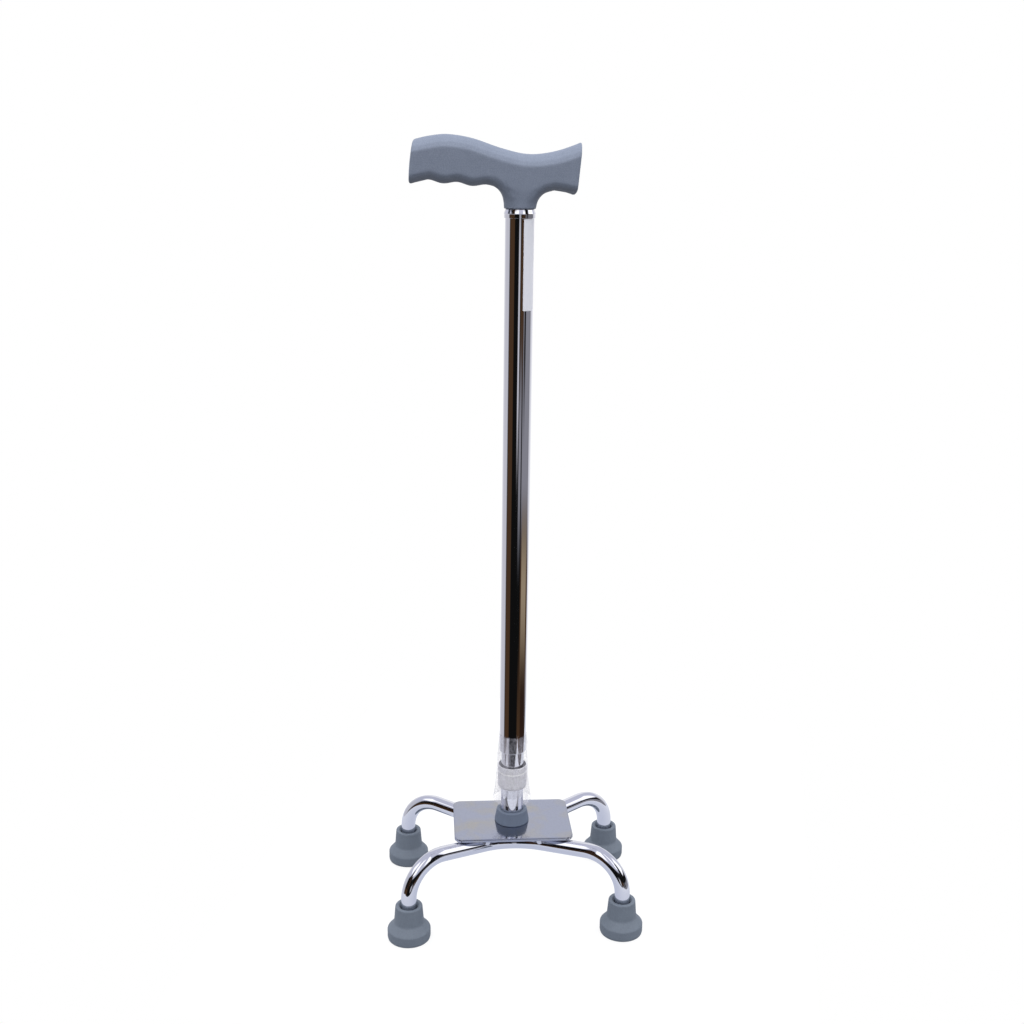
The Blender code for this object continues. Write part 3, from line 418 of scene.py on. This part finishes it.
def moulded(name, low, high, roughness, grain_width, grain_height):
    """A matt moulding: two tones in slow clouds of 9 mm, and the grain of its mould.

    The real grain is finer. Its width is in millimetres, as coarse as it needs to be to show.
    """
    made, tree = empty_material(name)
    place = node(tree, "TexCoord").outputs["Object"]
    cloud = node(tree, "TexNoise", {
        "Vector": place, "Scale": scale_of(9.09), "Detail": 5.0, "Roughness": 0.6,
    })
    grain = node(tree, "TexNoise", {"Vector": place, "Scale": scale_of(grain_width), "Detail": 2.0})
    slow = node(tree, "MapRange", {0: cloud.outputs[0], 1: 0.35, 2: 0.68, 3: 0.15, 4: 0.35})
    fine = node(tree, "MapRange", {0: grain.outputs[0], 1: 0.35, 2: 0.65, 3: 0.0, 4: 0.6})
    both = node(tree, "Math", {0: slow.outputs[0], 1: fine.outputs[0]}, operation="ADD")
    tint = node(tree, "Mix", {0: both.outputs[0], 6: colour(low), 7: colour(high)}, data_type="RGBA")
    bump = node(tree, "Bump", {"Height": grain.outputs[0], "Strength": grain_height, "Distance": 0.0002})
    shader = node(tree, "BsdfPrincipled", {
        "Base Color": tint.outputs[2], "Roughness": roughness, "IOR": 1.5, "Normal": bump.outputs[0],
    })
    node(tree, "OutputMaterial", {0: shader.outputs[0]})
    return made


def plain_steel(name):
    """Zinc-plated or polished steel: a soft grey gleam, dulled in small clouds of 4.5 mm."""
    made, tree = empty_material(name)
    place = node(tree, "TexCoord").outputs["Object"]
    cloud = node(tree, "TexNoise", {"Vector": place, "Scale": scale_of(4.55), "Detail": 3.0})
    tint = node(tree, "Mix", {
        0: cloud.outputs[0], 6: colour("#B4B8BE"), 7: colour("#C9CBC8"),
    }, data_type="RGBA")
    dull = node(tree, "MapRange", {0: cloud.outputs[0], 1: 0.3, 2: 0.7, 3: 0.28, 4: 0.42})
    shader = node(tree, "BsdfPrincipled", {
        "Base Color": tint.outputs[2], "Metallic": 1.0, "Roughness": dull.outputs[0],
    })
    node(tree, "OutputMaterial", {0: shader.outputs[0]})
    return made


rubber = moulded("moulded grey rubber", "#5E6773", "#6B7581", 0.58, 0.667, 0.35)
plated_steel = plain_steel("zinc plated steel")
first = lathe(FOOT_SECTION)
first.name = "foot"
first.data.materials.append(rubber)
for name, hand, foot_x, *arm in BOWS:
    for sign, which in ((-1, "left"), (1, "right")):
        pick(first)
        bpy.ops.object.duplicate(linked=False)
        foot = bpy.context.object
        foot.name = name + "_" + which + "_rubber_foot"
        foot.location = (sign * foot_x, hand * FOOT_Y, 0.0)
        bpy.ops.object.transform_apply(location=True, rotation=True, scale=True)
        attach(foot, "base")
        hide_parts(name + "_" + which + "_foot")
        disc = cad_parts[name + "_" + which + "_foot_washer"]
        disc.material_slots[0].material = plated_steel
bpy.data.objects.remove(first)


# Plate
# A 98.6 x 67.6 mm blank of 2.8 mm steel sheet, corners cropped round, edges broken and the middle
# drilled for the bolt. Its satin plating mirrors what stands on it, and is a little cloudy, bluish in
# some places and yellowish in others.

PLATE = (0.0986, 0.0676, 0.0028)
PLATE_TOP_Z = 0.0704
PLATE_CORNER_R = 0.0070
PLATE_EDGE_R = 0.0006
PLATE_RIM = 0.003           # a ring of faces inside the edge, which keeps the flat in its shading
BOLT_HOLE_R = 0.0032
DRILL_DEPTH = 0.010


def select(kind, test):
    """In edit mode, select only the vertices, edges or faces whose middle passes a test."""
    bpy.ops.mesh.select_mode(type=kind)
    bpy.ops.mesh.select_all(action="DESELECT")
    mesh = bpy.context.object.data
    bm = bmesh.from_edit_mesh(mesh)
    items = {"VERT": bm.verts, "EDGE": bm.edges, "FACE": bm.faces}[kind]
    for item in items:
        spots = [item.co] if kind == "VERT" else [v.co for v in item.verts]
        if test(sum(spots, Vector()) / len(spots), item):
            item.select_set(True)
    bmesh.update_edit_mesh(mesh)


def cut(obj, bit, operation="DIFFERENCE"):
    """Cut or trim a piece with another, or join the two, and clear the other away."""
    pick(obj)
    apply(obj, "BOOLEAN", operation=operation, solver="EXACT", object=bit)
    bpy.data.objects.remove(bit)


bpy.ops.object.select_all(action="DESELECT")
bpy.ops.mesh.primitive_cube_add(size=1.0, location=(0, 0, PLATE_TOP_Z - PLATE[2] / 2), scale=PLATE)
plate = bpy.context.object
plate.name = "plate"
bpy.ops.object.transform_apply(location=True, rotation=True, scale=True)
bpy.ops.object.mode_set(mode="EDIT")
select("EDGE", lambda middle, edge: abs(edge.verts[0].co.z - edge.verts[1].co.z) > PLATE[2] / 2)
bpy.ops.mesh.bevel(offset=PLATE_CORNER_R, segments=12, affect="EDGES")
select("EDGE", lambda middle, edge: len({round(v.co.z, 6) for v in edge.verts}) == 1)
bpy.ops.mesh.bevel(offset=PLATE_EDGE_R, segments=4, affect="EDGES")
select("FACE", lambda middle, face: abs(face.normal.z) > 0.99)
bpy.ops.mesh.inset(thickness=PLATE_RIM)
bpy.ops.object.mode_set(mode="OBJECT")
bpy.ops.mesh.primitive_cylinder_add(vertices=48, radius=BOLT_HOLE_R, depth=DRILL_DEPTH,
                                    location=(0, 0, PLATE_TOP_Z))
cut(plate, bpy.context.object)
bpy.ops.object.shade_smooth_by_angle(angle=SMOOTH_ANGLE)

# Satin chrome: a half-dull mirror, in clouds of 14 mm, with warmer patches of 22 mm, darker flecks of
# 1 mm, and the scratches of brushing along its length, drawn 0.8 mm apart so that they show.
satin, tree = empty_material("satin chrome on sheet steel")
place = node(tree, "TexCoord").outputs["Object"]
cloud = node(tree, "TexNoise", {"Vector": place, "Scale": scale_of(14.3), "Detail": 5.0, "Distortion": 0.8})
warm = node(tree, "TexNoise", {"Vector": place, "Scale": scale_of(22.2), "Detail": 3.0, "Distortion": 0.4})
fleck = node(tree, "TexNoise", {"Vector": place, "Scale": scale_of(1.11), "Detail": 2.0})
tint = node(tree, "Mix", {
    0: node(tree, "MapRange", {0: warm.outputs[0], 1: 0.44, 2: 0.70}).outputs[0],
    6: colour("#A9AEBF"), 7: colour("#B2B0AC"),
}, data_type="RGBA")
tint = node(tree, "Mix", {
    0: node(tree, "MapRange", {0: fleck.outputs[0], 1: 0.40, 2: 0.72, 3: 0.0, 4: 0.5}).outputs[0],
    6: tint.outputs[2], 7: colour("#9EA3B4"),
}, data_type="RGBA")
dull = node(tree, "MapRange", {0: cloud.outputs[0], 1: 0.3, 2: 0.7, 3: 0.07, 4: 0.17})
brushed = node(tree, "Mapping", {0: place, 3: (0.03, 1.0, 1.0)})
scratch = node(tree, "TexNoise", {"Vector": brushed.outputs[0], "Scale": scale_of(0.769), "Detail": 2.0})
bump = node(tree, "Bump", {"Height": scratch.outputs[0], "Strength": 0.05, "Distance": 0.0001})
shader = node(tree, "BsdfPrincipled", {
    "Base Color": tint.outputs[2], "Metallic": 1.0, "Roughness": dull.outputs[0], "Normal": bump.outputs[0],
})
node(tree, "OutputMaterial", {0: shader.outputs[0]})
plate.data.materials.append(satin)
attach(plate, "base")
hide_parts("base_plate")


# Weld beads
# Four short fillets of weld hold the leg tubes under the plate. They are lumpy, and plated over with
# the rest of the base.

LUMP_HEIGHT = 0.0006
LUMP_WIDTH = 0.0022
BEAD_VOXEL = 0.0003


def from_cad(name, new_name):
    """A copy of a CAD piece as one merged mesh, ready to be worked on."""
    obj = bpy.data.objects.new(new_name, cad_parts[name].data.copy())
    bpy.context.scene.collection.objects.link(obj)
    pick(obj)
    bpy.ops.object.mode_set(mode="EDIT")
    bpy.ops.mesh.select_all(action="SELECT")
    bpy.ops.mesh.remove_doubles(threshold=1e-6)
    bpy.ops.object.mode_set(mode="OBJECT")
    obj.data.materials.clear()
    return obj


weld_chrome = chrome_plate("chrome over weld", 0.16, "#DDDEE4", 0.4)
lumps = bpy.data.textures.new("weld lumps", "CLOUDS")
lumps.noise_scale = LUMP_WIDTH
for name in ("front_left", "front_right", "rear_left", "rear_right"):
    bead = from_cad(name + "_weld", name + "_bead")
    apply(bead, "REMESH", mode="VOXEL", voxel_size=BEAD_VOXEL)
    apply(bead, "SMOOTH", factor=0.5, iterations=6)
    apply(bead, "DISPLACE", texture=lumps, texture_coords="LOCAL", strength=LUMP_HEIGHT, mid_level=0.6)
    bpy.ops.object.shade_smooth()
    bead.data.materials.append(weld_chrome)
    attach(bead, "base")
    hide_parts(name + "_weld")


# Shaft fixing
# A zinc plated hexagon bolt goes up through a washer and the plate, and screws into an anchor fixed in
# the foot of the shaft. Its head has the usual 30 degree chamfer and a washer face.

BOLT_R = 0.0029
BOLT_LOW_Z = 0.0614
BOLT_HEAD = 0.0040
BOLT_TOP_Z = 0.0854
BOLT_POINT = 0.0008         # chamfer at the tip of the shank
BOLT_ACROSS = 0.0100
BOLT_CORNER_R = BOLT_ACROSS / 2 / math.cos(math.radians(30))

bpy.ops.object.select_all(action="DESELECT")
bpy.ops.mesh.primitive_cylinder_add(vertices=6, radius=BOLT_CORNER_R, depth=BOLT_HEAD,
                                    location=(0, 0, BOLT_LOW_Z + BOLT_HEAD / 2),
                                    rotation=(0, 0, math.radians(30)))
bolt = bpy.context.object
bolt.name = "hexagon_bolt"
bpy.ops.object.transform_apply(location=True, rotation=True, scale=True)
turned_head = lathe((   # what the lathe leaves of the hexagon: the chamfer below, the washer face above
    (0.0, BOLT_LOW_Z, 0), (0.0047, BOLT_LOW_Z, 0.0001), (0.0062, BOLT_LOW_Z + 0.0009, 0),
    (0.0062, BOLT_LOW_Z + 0.0036, 0), (0.0048, BOLT_LOW_Z + 0.0037, 0), (0.0048, BOLT_LOW_Z + BOLT_HEAD, 0),
    (0.0, BOLT_LOW_Z + BOLT_HEAD, 0),
))
cut(bolt, turned_head, "INTERSECT")
shank_low_z = BOLT_LOW_Z + BOLT_HEAD / 2
shank = lathe((
    (0.0, shank_low_z, 0), (BOLT_R, shank_low_z, 0), (BOLT_R, BOLT_TOP_Z - BOLT_POINT, 0),
    (BOLT_R - BOLT_POINT, BOLT_TOP_Z, 0), (0.0, BOLT_TOP_Z, 0),
), steps=48)
cut(bolt, shank, "UNION")
bpy.ops.object.shade_smooth_by_angle(angle=math.radians(25))    # the 30 degree chamfer stays sharp
bolt.data.materials.clear()
bolt.data.materials.append(plated_steel)
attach(bolt, "base")
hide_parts("base_bolt")
for name in ("base_washer", "shaft_anchor"):
    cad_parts[name].material_slots[0].material = plated_steel


# Base bush
# A moulded grey plastic cup round the foot of the shaft, pressed down on the plate. Its wall narrows
# to an eased mouth that fits close round the tube, and hides the joint between tube and plate.

BUSH_SECTION = (   # radius, height, corner radius
    (0.0095, 0.0705, 0.0002), (0.0144, 0.0705, 0.0002), (0.0145, 0.0713, 0.0003), (0.0143, 0.0724, 0),
    (0.0128, 0.0802, 0), (0.0126, 0.0813, 0.0007), (0.0097, 0.0813, 0.0002), (0.0095, 0.0810, 0.0001),
    (0.0095, 0.0705, 0),
)
soft_plastic = moulded("moulded grey soft plastic", "#5B6677", "#667184", 0.50, 0.667, 0.15)
bush = lathe(BUSH_SECTION)
bush.name = "bush"
bush.data.materials.append(soft_plastic)
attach(bush, "base")
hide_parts("base_bush")


# Shaft tubes
# Two seamless steel tubes, 22 mm sliding over 18.8 mm, both bright chromed. The outer one has a row of
# height holes down its back, drilled at 19.05 mm, and its end is trimmed and eased. A nylon plug guides
# the top of the inner one.

TUBE_WALL = 0.0012
OUTER_R = 0.0110
OUTER_LOW_Z = 0.1353
OUTER_TOP_Z = 0.5767
INNER_R = 0.0094
INNER_LOW_Z = 0.0707
INNER_TOP_Z = 0.4059
BUTTON_Z = 0.3839
HOLE_PITCH = 0.01905
HOLE_R = 0.0033
HOLES = 13
HOLE_RINGS = 0.0045         # rings of faces this far above and below each hole
SCREW_Z = 0.5580
SCREW_HOLE_R = 0.0019
SCREW_RINGS = 0.003
END_RING = 0.0006           # a ring this far from each end keeps the long faces straight in their shading
END_ROUND = 0.0003
BACK_Y = 0.0112             # where a drill's bit is centred to go through the back wall

shaft_chrome = chrome_plate("bright chrome on drawn steel tube", 0.045, "#EDEDF2", 0.04)


def tube_section(radius, low, high, stations):
    """A tube's wall in section, with rings at a few heights on both faces."""
    inner = radius - TUBE_WALL
    outside = [(radius, z, 0) for z in stations]
    inside = [(inner, z, 0) for z in reversed(stations)]
    return [
        (radius, low, END_ROUND), *outside, (radius, high, END_ROUND),
        (inner, high, END_ROUND), *inside, (inner, low, END_ROUND), (radius, low, 0),
    ]


def drill(tube, radius, heights):
    """Cut round holes through the back wall of a tube."""
    bpy.ops.object.select_all(action="DESELECT")
    bits = []
    for z in heights:
        bpy.ops.mesh.primitive_cylinder_add(vertices=32, radius=radius, depth=DRILL_DEPTH,
                                            location=(0, BACK_Y, z), rotation=(math.radians(90), 0, 0))
        bits.append(bpy.context.object)
    for bit in bits:
        bit.select_set(True)
    bpy.ops.object.join()
    cut(tube, bpy.context.object)


hole_heights = [BUTTON_Z - HOLE_PITCH * i for i in range(HOLES)]
stations = sorted([z + step for z in hole_heights for step in (-HOLE_RINGS, HOLE_RINGS)])
stations += [SCREW_Z - SCREW_RINGS, SCREW_Z + SCREW_RINGS]
stations = [OUTER_LOW_Z + END_RING, *stations, OUTER_TOP_Z - END_RING]
outer = lathe(tube_section(OUTER_R, OUTER_LOW_Z, OUTER_TOP_Z, stations), steps=128)
outer.name = "outer_tube"
drill(outer, HOLE_R, hole_heights)
drill(outer, SCREW_HOLE_R, [SCREW_Z])
bpy.ops.object.shade_smooth_by_angle(angle=SMOOTH_ANGLE)
outer.data.materials.append(shaft_chrome)
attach(outer, "upper")
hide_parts("upper_tube")

stations = [INNER_LOW_Z + END_RING, BUTTON_Z - HOLE_RINGS, BUTTON_Z + HOLE_RINGS, INNER_TOP_Z - END_RING]
inner = lathe(tube_section(INNER_R, INNER_LOW_Z, INNER_TOP_Z, stations), steps=128)
inner.name = "inner_tube"
drill(inner, HOLE_R, [BUTTON_Z])
bpy.ops.object.shade_smooth_by_angle(angle=SMOOTH_ANGLE)
inner.data.materials.append(shaft_chrome)
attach(inner, "base")
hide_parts("lower_tube")

pale_nylon = moulded("moulded pale nylon", "#B9B9BC", "#CDCDD0", 0.38, 1.11, 0.08)
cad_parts["guide_plug"].material_slots[0].material = pale_nylon


# Snap button
# A turned steel pin with a domed end, pushed out through both tubes by a bent strip of spring steel
# that sits in the inner one. Both are polished and left bare.

BUTTON_SECTION = (   # radius, distance behind the shaft's axis, corner radius
    (0.0, 0.00616, 0), (0.0040, 0.00616, 0.0001), (0.0040, 0.00686, 0.0001), (0.0030, 0.00686, 0.0001),
    (0.0030, 0.0122, 0.0006), (0.0020, 0.0130, 0.0006), (0.0, 0.0132, 0),
)


def turn_to_back(obj, height):
    """Lay a turned piece over so that its axis points behind the shaft, at a height."""
    pick(obj)
    obj.rotation_euler = (math.radians(-90), 0.0, 0.0)
    obj.location = (0.0, 0.0, height)
    bpy.ops.object.transform_apply(location=True, rotation=True, scale=True)


spring_steel = plain_steel("polished spring steel")
button = lathe(BUTTON_SECTION, steps=48)
button.name = "domed_button"
turn_to_back(button, BUTTON_Z)
button.data.materials.append(spring_steel)
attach(button, "button")
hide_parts("snap_button")
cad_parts["button_spring"].material_slots[0].material = spring_steel


# Ferrule
# A thin chromed steel band, pressed over the top of the tube, which trims the joint of tube and grip:
# a rounded bead above a plain skirt.

FERRULE_SECTION = (   # radius, height, corner radius
    (0.0113, 0.5703, 0), (0.0118, 0.5703, 0.0002), (0.0118, 0.5707, 0), (0.0118, 0.5729, 0),
    (0.0118, 0.5732, 0.0001), (0.0121, 0.5735, 0.0001), (0.0120, 0.5738, 0), (0.0113, 0.5759, 0),
    (0.0111, 0.5767, 0.0002), (0.0111, 0.5758, 0.0001), (0.0113, 0.5750, 0), (0.0113, 0.5703, 0),
)
ferrule = lathe(FERRULE_SECTION)
ferrule.name = "ferrule_band"
ferrule.data.materials.append(shaft_chrome)
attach(ferrule, "upper")
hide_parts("ferrule")


# Label
# A bare strip of white coated paper, 68 by 11 mm, stuck lengthways on the outer tube below the
# ferrule, to the right of the front.

LABEL_R = 0.01103
LABEL_THICK = 0.00012
LABEL_LOW_Z = 0.5020
LABEL_TOP_Z = 0.5699
LABEL_FROM = math.radians(-21)      # round from +X, so 69 degrees to the right of the front
LABEL_SWEEP = math.radians(56)

label = lathe(((LABEL_R, LABEL_LOW_Z, 0), (LABEL_R, LABEL_TOP_Z, 0)), steps=20, angle=LABEL_SWEEP,
              start=LABEL_FROM)
label.name = "label_strip"
apply(label, "SOLIDIFY", thickness=LABEL_THICK, offset=1.0)
bpy.ops.object.shade_smooth_by_angle(angle=SMOOTH_ANGLE)
# Coated paper: white, with a low sheen, and the faint mottle of its fibres in tufts of 2 mm.
paper_strip, tree = empty_material("coated label paper")
place = node(tree, "TexCoord").outputs["Object"]
fibre = node(tree, "TexNoise", {"Vector": place, "Scale": scale_of(2.0), "Detail": 4.0})
tint = node(tree, "Mix", {0: fibre.outputs[0], 6: colour("#ECEFFA"), 7: colour("#F6F7FC")}, data_type="RGBA")
shader = node(tree, "BsdfPrincipled", {"Base Color": tint.outputs[2], "Roughness": 0.42, "IOR": 1.5})
node(tree, "OutputMaterial", {0: shader.outputs[0]})
label.data.materials.append(paper_strip)
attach(label, "upper")
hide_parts("paper_label")


# Lock collar
# A cup of clear nylon, moulded with fine grip flutes round its band and a groove below its lip. It
# closes the slip joint of the two tubes, and a rubber ring in it keeps them from rattling. It has a
# painted glow in the groove and round the foot, and painted shade darkens its inside.

COLLAR_R = 0.0121
COLLAR_SECTION = (   # radius, height, corner radius
    (0.0097, 0.1017, 0), (COLLAR_R, 0.1017, 0.0024), (COLLAR_R, 0.1046, 0), (COLLAR_R, 0.1155, 0),
    (COLLAR_R, 0.1162, 0.0002), (0.0116, 0.1167, 0.0002), (COLLAR_R, 0.1172, 0.0002),
    (COLLAR_R, 0.1223, 0.0004), (0.0113, 0.1223, 0.0002), (0.0113, 0.1103, 0), (0.0097, 0.1103, 0),
    (0.0097, 0.1017, 0),
)
COLLAR_SKIN_R = 0.0115      # what lies further out than this is its outside
SHADED_INSIDE_R = 0.01132           # and what lies further in than this is painted dark, as painted shade
GROOVE_GLOW = (0.1161, 0.1173, 0.0005)       # a painted glow here: lowest, highest, blur
FOOT_GLOW = (0.1010, 0.1026, 0.0006)
FLUTES = 32
STEPS_PER_FLUTE = 4
FLUTE_DEPTH = 0.00014
FLUTE_BAND = (0.1030, 0.1160)


def in_flute(place, vert):
    """Whether a vertex of the collar lies in the bottom of a flute."""
    step = round(math.atan2(place.y, place.x) / math.tau * FLUTES * STEPS_PER_FLUTE)
    return (FLUTE_BAND[0] < place.z < FLUTE_BAND[1] and place.xy.length > COLLAR_SKIN_R
            and step % STEPS_PER_FLUTE == 0)


collar = lathe(COLLAR_SECTION, steps=FLUTES * STEPS_PER_FLUTE)
collar.name = "collar_cup"
bpy.ops.object.mode_set(mode="EDIT")
select("VERT", in_flute)
shrink = 1.0 - FLUTE_DEPTH / COLLAR_R
bpy.ops.transform.resize(value=(shrink, shrink, 1.0), center_override=(0.0, 0.0, 0.0))
bpy.ops.object.mode_set(mode="OBJECT")
# Clear nylon: a pale satin grey from what lies behind it, in a mottle of 1.4 mm, with a painted glow
# in the groove and round the foot.
clear_nylon, tree = empty_material("moulded clear nylon")
place = node(tree, "TexCoord").outputs["Object"]
grain = node(tree, "TexNoise", {"Vector": place, "Scale": scale_of(1.43), "Detail": 3.0})
height = node(tree, "SeparateXYZ", {0: place}).outputs["Z"]
# painted glow: the groove and the foot's edge are painted paler, emit light and let more light through
groove_glow = span(tree, height, *GROOVE_GLOW)
foot_glow = span(tree, height, *FOOT_GLOW)
painted_glow = node(tree, "Math", {0: groove_glow, 1: foot_glow}, operation="MAXIMUM").outputs[0]
tint = node(tree, "Mix", {0: grain.outputs[0], 6: colour("#D6D6DC"), 7: colour("#F2F2F6")}, data_type="RGBA")
tint = node(tree, "Mix", {0: painted_glow, 6: tint.outputs[2], 7: colour("#FAFAFC")}, data_type="RGBA")
flat = node(tree, "VectorMath", {0: place, 1: (1.0, 1.0, 0.0)}, operation="MULTIPLY")
out_by = node(tree, "VectorMath", {0: flat.outputs[0]}, operation="LENGTH").outputs["Value"]
# painted shade: the cup's inside is painted dark grey
painted_shade_inside = node(tree, "MapRange", {0: out_by, 1: COLLAR_SKIN_R, 2: SHADED_INSIDE_R}).outputs[0]
tint = node(tree, "Mix", {0: painted_shade_inside, 6: tint.outputs[2], 7: colour("#4C4C52")}, data_type="RGBA")
# painted glow: the collar emits light there, though it is no lamp
glow_strength = node(tree, "Math", {0: painted_glow, 1: 0.25}, operation="MULTIPLY")
shader = node(tree, "BsdfPrincipled", {
    "Base Color": tint.outputs[2], "Roughness": 0.30, "IOR": 1.53,
    "Emission Color": colour("#FFFFFF"), "Emission Strength": glow_strength.outputs[0],
})
glow = node(tree, "BsdfTranslucent", {0: tint.outputs[2]})
share = node(tree, "MapRange", {0: painted_glow, 3: 0.18, 4: 0.45})
shader = node(tree, "MixShader", {0: share.outputs[0], 1: shader.outputs[0], 2: glow.outputs[0]})
node(tree, "OutputMaterial", {0: shader.outputs[0]})
collar.data.materials.append(clear_nylon)
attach(collar, "collar")
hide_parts("lock_collar")
ring_rubber = moulded("moulded black rubber", "#1C1D1F", "#26272A", 0.60, 0.667, 0.2)
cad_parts["collar_grip_ring"].material_slots[0].material = ring_rubber


# Clear sleeve
# The thin plastic film that protects the slip joint in the shop, cut square at the top. It has been
# pushed down towards the plate, so it hangs in soft folds there and flares out. It came flat, and the
# creases of its edges run down its front and back, as milky bands that also carry a painted highlight.

SLEEVE_LOW_Z = 0.0902
SLEEVE_TOP_Z = 0.1500
SLEEVE_SECTION = (   # radius, height, corner radius
    (0.0118, SLEEVE_TOP_Z, 0), (0.0119, 0.1470, 0), (0.0122, 0.1400, 0), (0.0126, 0.1330, 0),
    (0.0130, 0.1260, 0), (0.0134, 0.1190, 0), (0.0138, 0.1120, 0), (0.0143, 0.1050, 0), (0.0149, 0.0990, 0),
    (0.0155, 0.0940, 0), (0.0160, SLEEVE_LOW_Z, 0),
)
FILM_THICK = 0.00008
FLARE_TOP_Z = 0.1080        # below this the film flares in folds
FOLD_DEPTH = 0.0007
CRUMPLE_LOW_Z = 0.1260      # above this it is crumpled a little
CRUMPLE_DEPTH = 0.00035
CRUMPLE_ENDS = (0.0100, 0.0060)     # lengths in which it comes in, and dies away at the top
CREASE_HIGHLIGHT_X = (-0.0058, -0.0042, 0.0007)       # the creases of its edges, front and back, with a painted highlight: from, to, blur
CREASE_HIGHLIGHT_Z = (0.121, 0.127)           # they show above the collar only, and come in between these heights
BUNCHED_Z = (0.107, 0.092)          # the film turns milkier from the first height down to the second

sleeve = lathe(SLEEVE_SECTION, steps=192)
sleeve.name = "film_sleeve"
apply(sleeve, "SUBSURF", levels=1, render_levels=1)
for vert in sleeve.data.vertices:
    round_by = math.atan2(vert.co.y, vert.co.x)
    low = min(max((FLARE_TOP_Z - vert.co.z) / (FLARE_TOP_Z - SLEEVE_LOW_Z), 0.0), 1.0)
    high = min(max((vert.co.z - CRUMPLE_LOW_Z) / CRUMPLE_ENDS[0], 0.0), 1.0)
    high *= min(max((SLEEVE_TOP_Z - vert.co.z) / CRUMPLE_ENDS[1], 0.0), 1.0)
    folds = 0.5 * math.sin(7 * round_by + 0.8) + 0.3 * math.sin(12 * round_by + 260 * vert.co.z)
    crumple = 0.5 * math.sin(5 * round_by + 320 * vert.co.z) + 0.5 * math.sin(9 * round_by - 210 * vert.co.z)
    vert.co.xy *= 1.0 + (FOLD_DEPTH * low * folds + CRUMPLE_DEPTH * high * crumple) / vert.co.xy.length
apply(sleeve, "SOLIDIFY", thickness=FILM_THICK, offset=0.0)
bpy.ops.object.shade_smooth()
# Polyethylene film: clear and shiny, and milky in upright folds of 7 mm, in crinkles of 2.4 mm, where it
# is bunched at its foot, and along the pressed creases, where the milky bands are also a painted highlight.
film, tree = empty_material("clear polyethylene film")
place = node(tree, "TexCoord").outputs["Object"]
folds = node(tree, "Mapping", {0: place, 3: (1.0, 1.0, 0.12)})
folds = node(tree, "TexNoise", {
    "Vector": folds.outputs[0], "Scale": scale_of(6.67), "Detail": 2.0, "Distortion": 0.5,
})
crinkle = node(tree, "TexNoise", {"Vector": place, "Scale": scale_of(2.38), "Detail": 4.0, "Distortion": 1.2})
milky = node(tree, "MapRange", {0: folds.outputs[0], 1: 0.42, 2: 0.66, 3: 0.02, 4: 0.16})
cover = node(tree, "MapRange", {0: crinkle.outputs[0], 1: 0.40, 2: 0.70, 3: 0.0, 4: 0.10})
spot = node(tree, "SeparateXYZ", {0: place})
bunched = node(tree, "MapRange", {0: spot.outputs["Z"], 1: BUNCHED_Z[0], 2: BUNCHED_Z[1], 3: 0.0, 4: 0.07})
cover = node(tree, "Math", {0: milky.outputs[0], 1: cover.outputs[0]}, operation="ADD")
cover = node(tree, "Math", {0: bunched.outputs[0], 1: cover.outputs[0]}, operation="ADD")
# painted highlight: milky bands down the creases, standing in for the light they catch
crease_highlight = span(tree, spot.outputs["X"], *CREASE_HIGHLIGHT_X)
pressed = node(tree, "MapRange", {0: spot.outputs["Z"], 1: CREASE_HIGHLIGHT_Z[0], 2: CREASE_HIGHLIGHT_Z[1], 3: 0.0, 4: 0.34})
crease_highlight = node(tree, "Math", {0: crease_highlight, 1: pressed.outputs[0]}, operation="MULTIPLY")
cover = node(tree, "Math", {0: crease_highlight.outputs[0], 1: cover.outputs[0]}, operation="ADD")
bump = node(tree, "Bump", {"Height": crinkle.outputs[0], "Strength": 0.35, "Distance": 0.0002})
shader = node(tree, "BsdfPrincipled", {
    "Base Color": colour("#D8D8E2"), "Roughness": 0.16, "IOR": 1.51, "Alpha": cover.outputs[0],
    "Normal": bump.outputs[0],
})
node(tree, "OutputMaterial", {0: shader.outputs[0]})
sleeve.data.materials.append(film)
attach(sleeve, "collar")
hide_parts("clear_sleeve")


# Grip
# A polypropylene moulding with three shallow finger grooves, matt from a spark-eroded mould. A pan
# head screw through the back of the tube holds its spigot.

GRIP_VOXEL = 0.0006

grip = from_cad("grip", "moulded_grip")
apply(grip, "REMESH", mode="VOXEL", voxel_size=GRIP_VOXEL)
apply(grip, "SMOOTH", factor=0.5, iterations=10)
bpy.ops.object.shade_smooth()
grip_plastic = moulded("moulded grey polypropylene", "#757F91", "#8993A6", 0.55, 0.714, 0.35)
grip.data.materials.append(grip_plastic)
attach(grip, "upper")
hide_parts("grip")

SCREW_SECTION = (   # radius, distance behind the shaft's axis, corner radius
    (0.0, 0.0023, 0), (0.0008, 0.0023, 0), (0.0016, 0.0038, 0.0002), (0.0016, 0.0113, 0),
    (0.0032, 0.0113, 0.0002), (0.0030, 0.0122, 0.0004), (0.0018, 0.0128, 0.0006), (0.0, 0.0128, 0),
)
RECESS = (0.0030, 0.0006, 0.0016)       # length, width and height of what cuts each slot of the cross
RECESS_AT = 0.0127

screw = lathe(SCREW_SECTION, steps=48)
screw.name = "pan_head_screw"
for turned in (45, 135):
    bpy.ops.mesh.primitive_cube_add(size=1.0, location=(0, 0, RECESS_AT), scale=RECESS,
                                    rotation=(0, 0, math.radians(turned)))
    cut(screw, bpy.context.object)
turn_to_back(screw, SCREW_Z)
bpy.ops.object.shade_smooth_by_angle(angle=math.radians(30))
screw.data.materials.clear()
screw.data.materials.append(plated_steel)
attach(screw, "upper")
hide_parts("grip_screw")


# Bring every object's place up to date
bpy.context.view_layer.update()
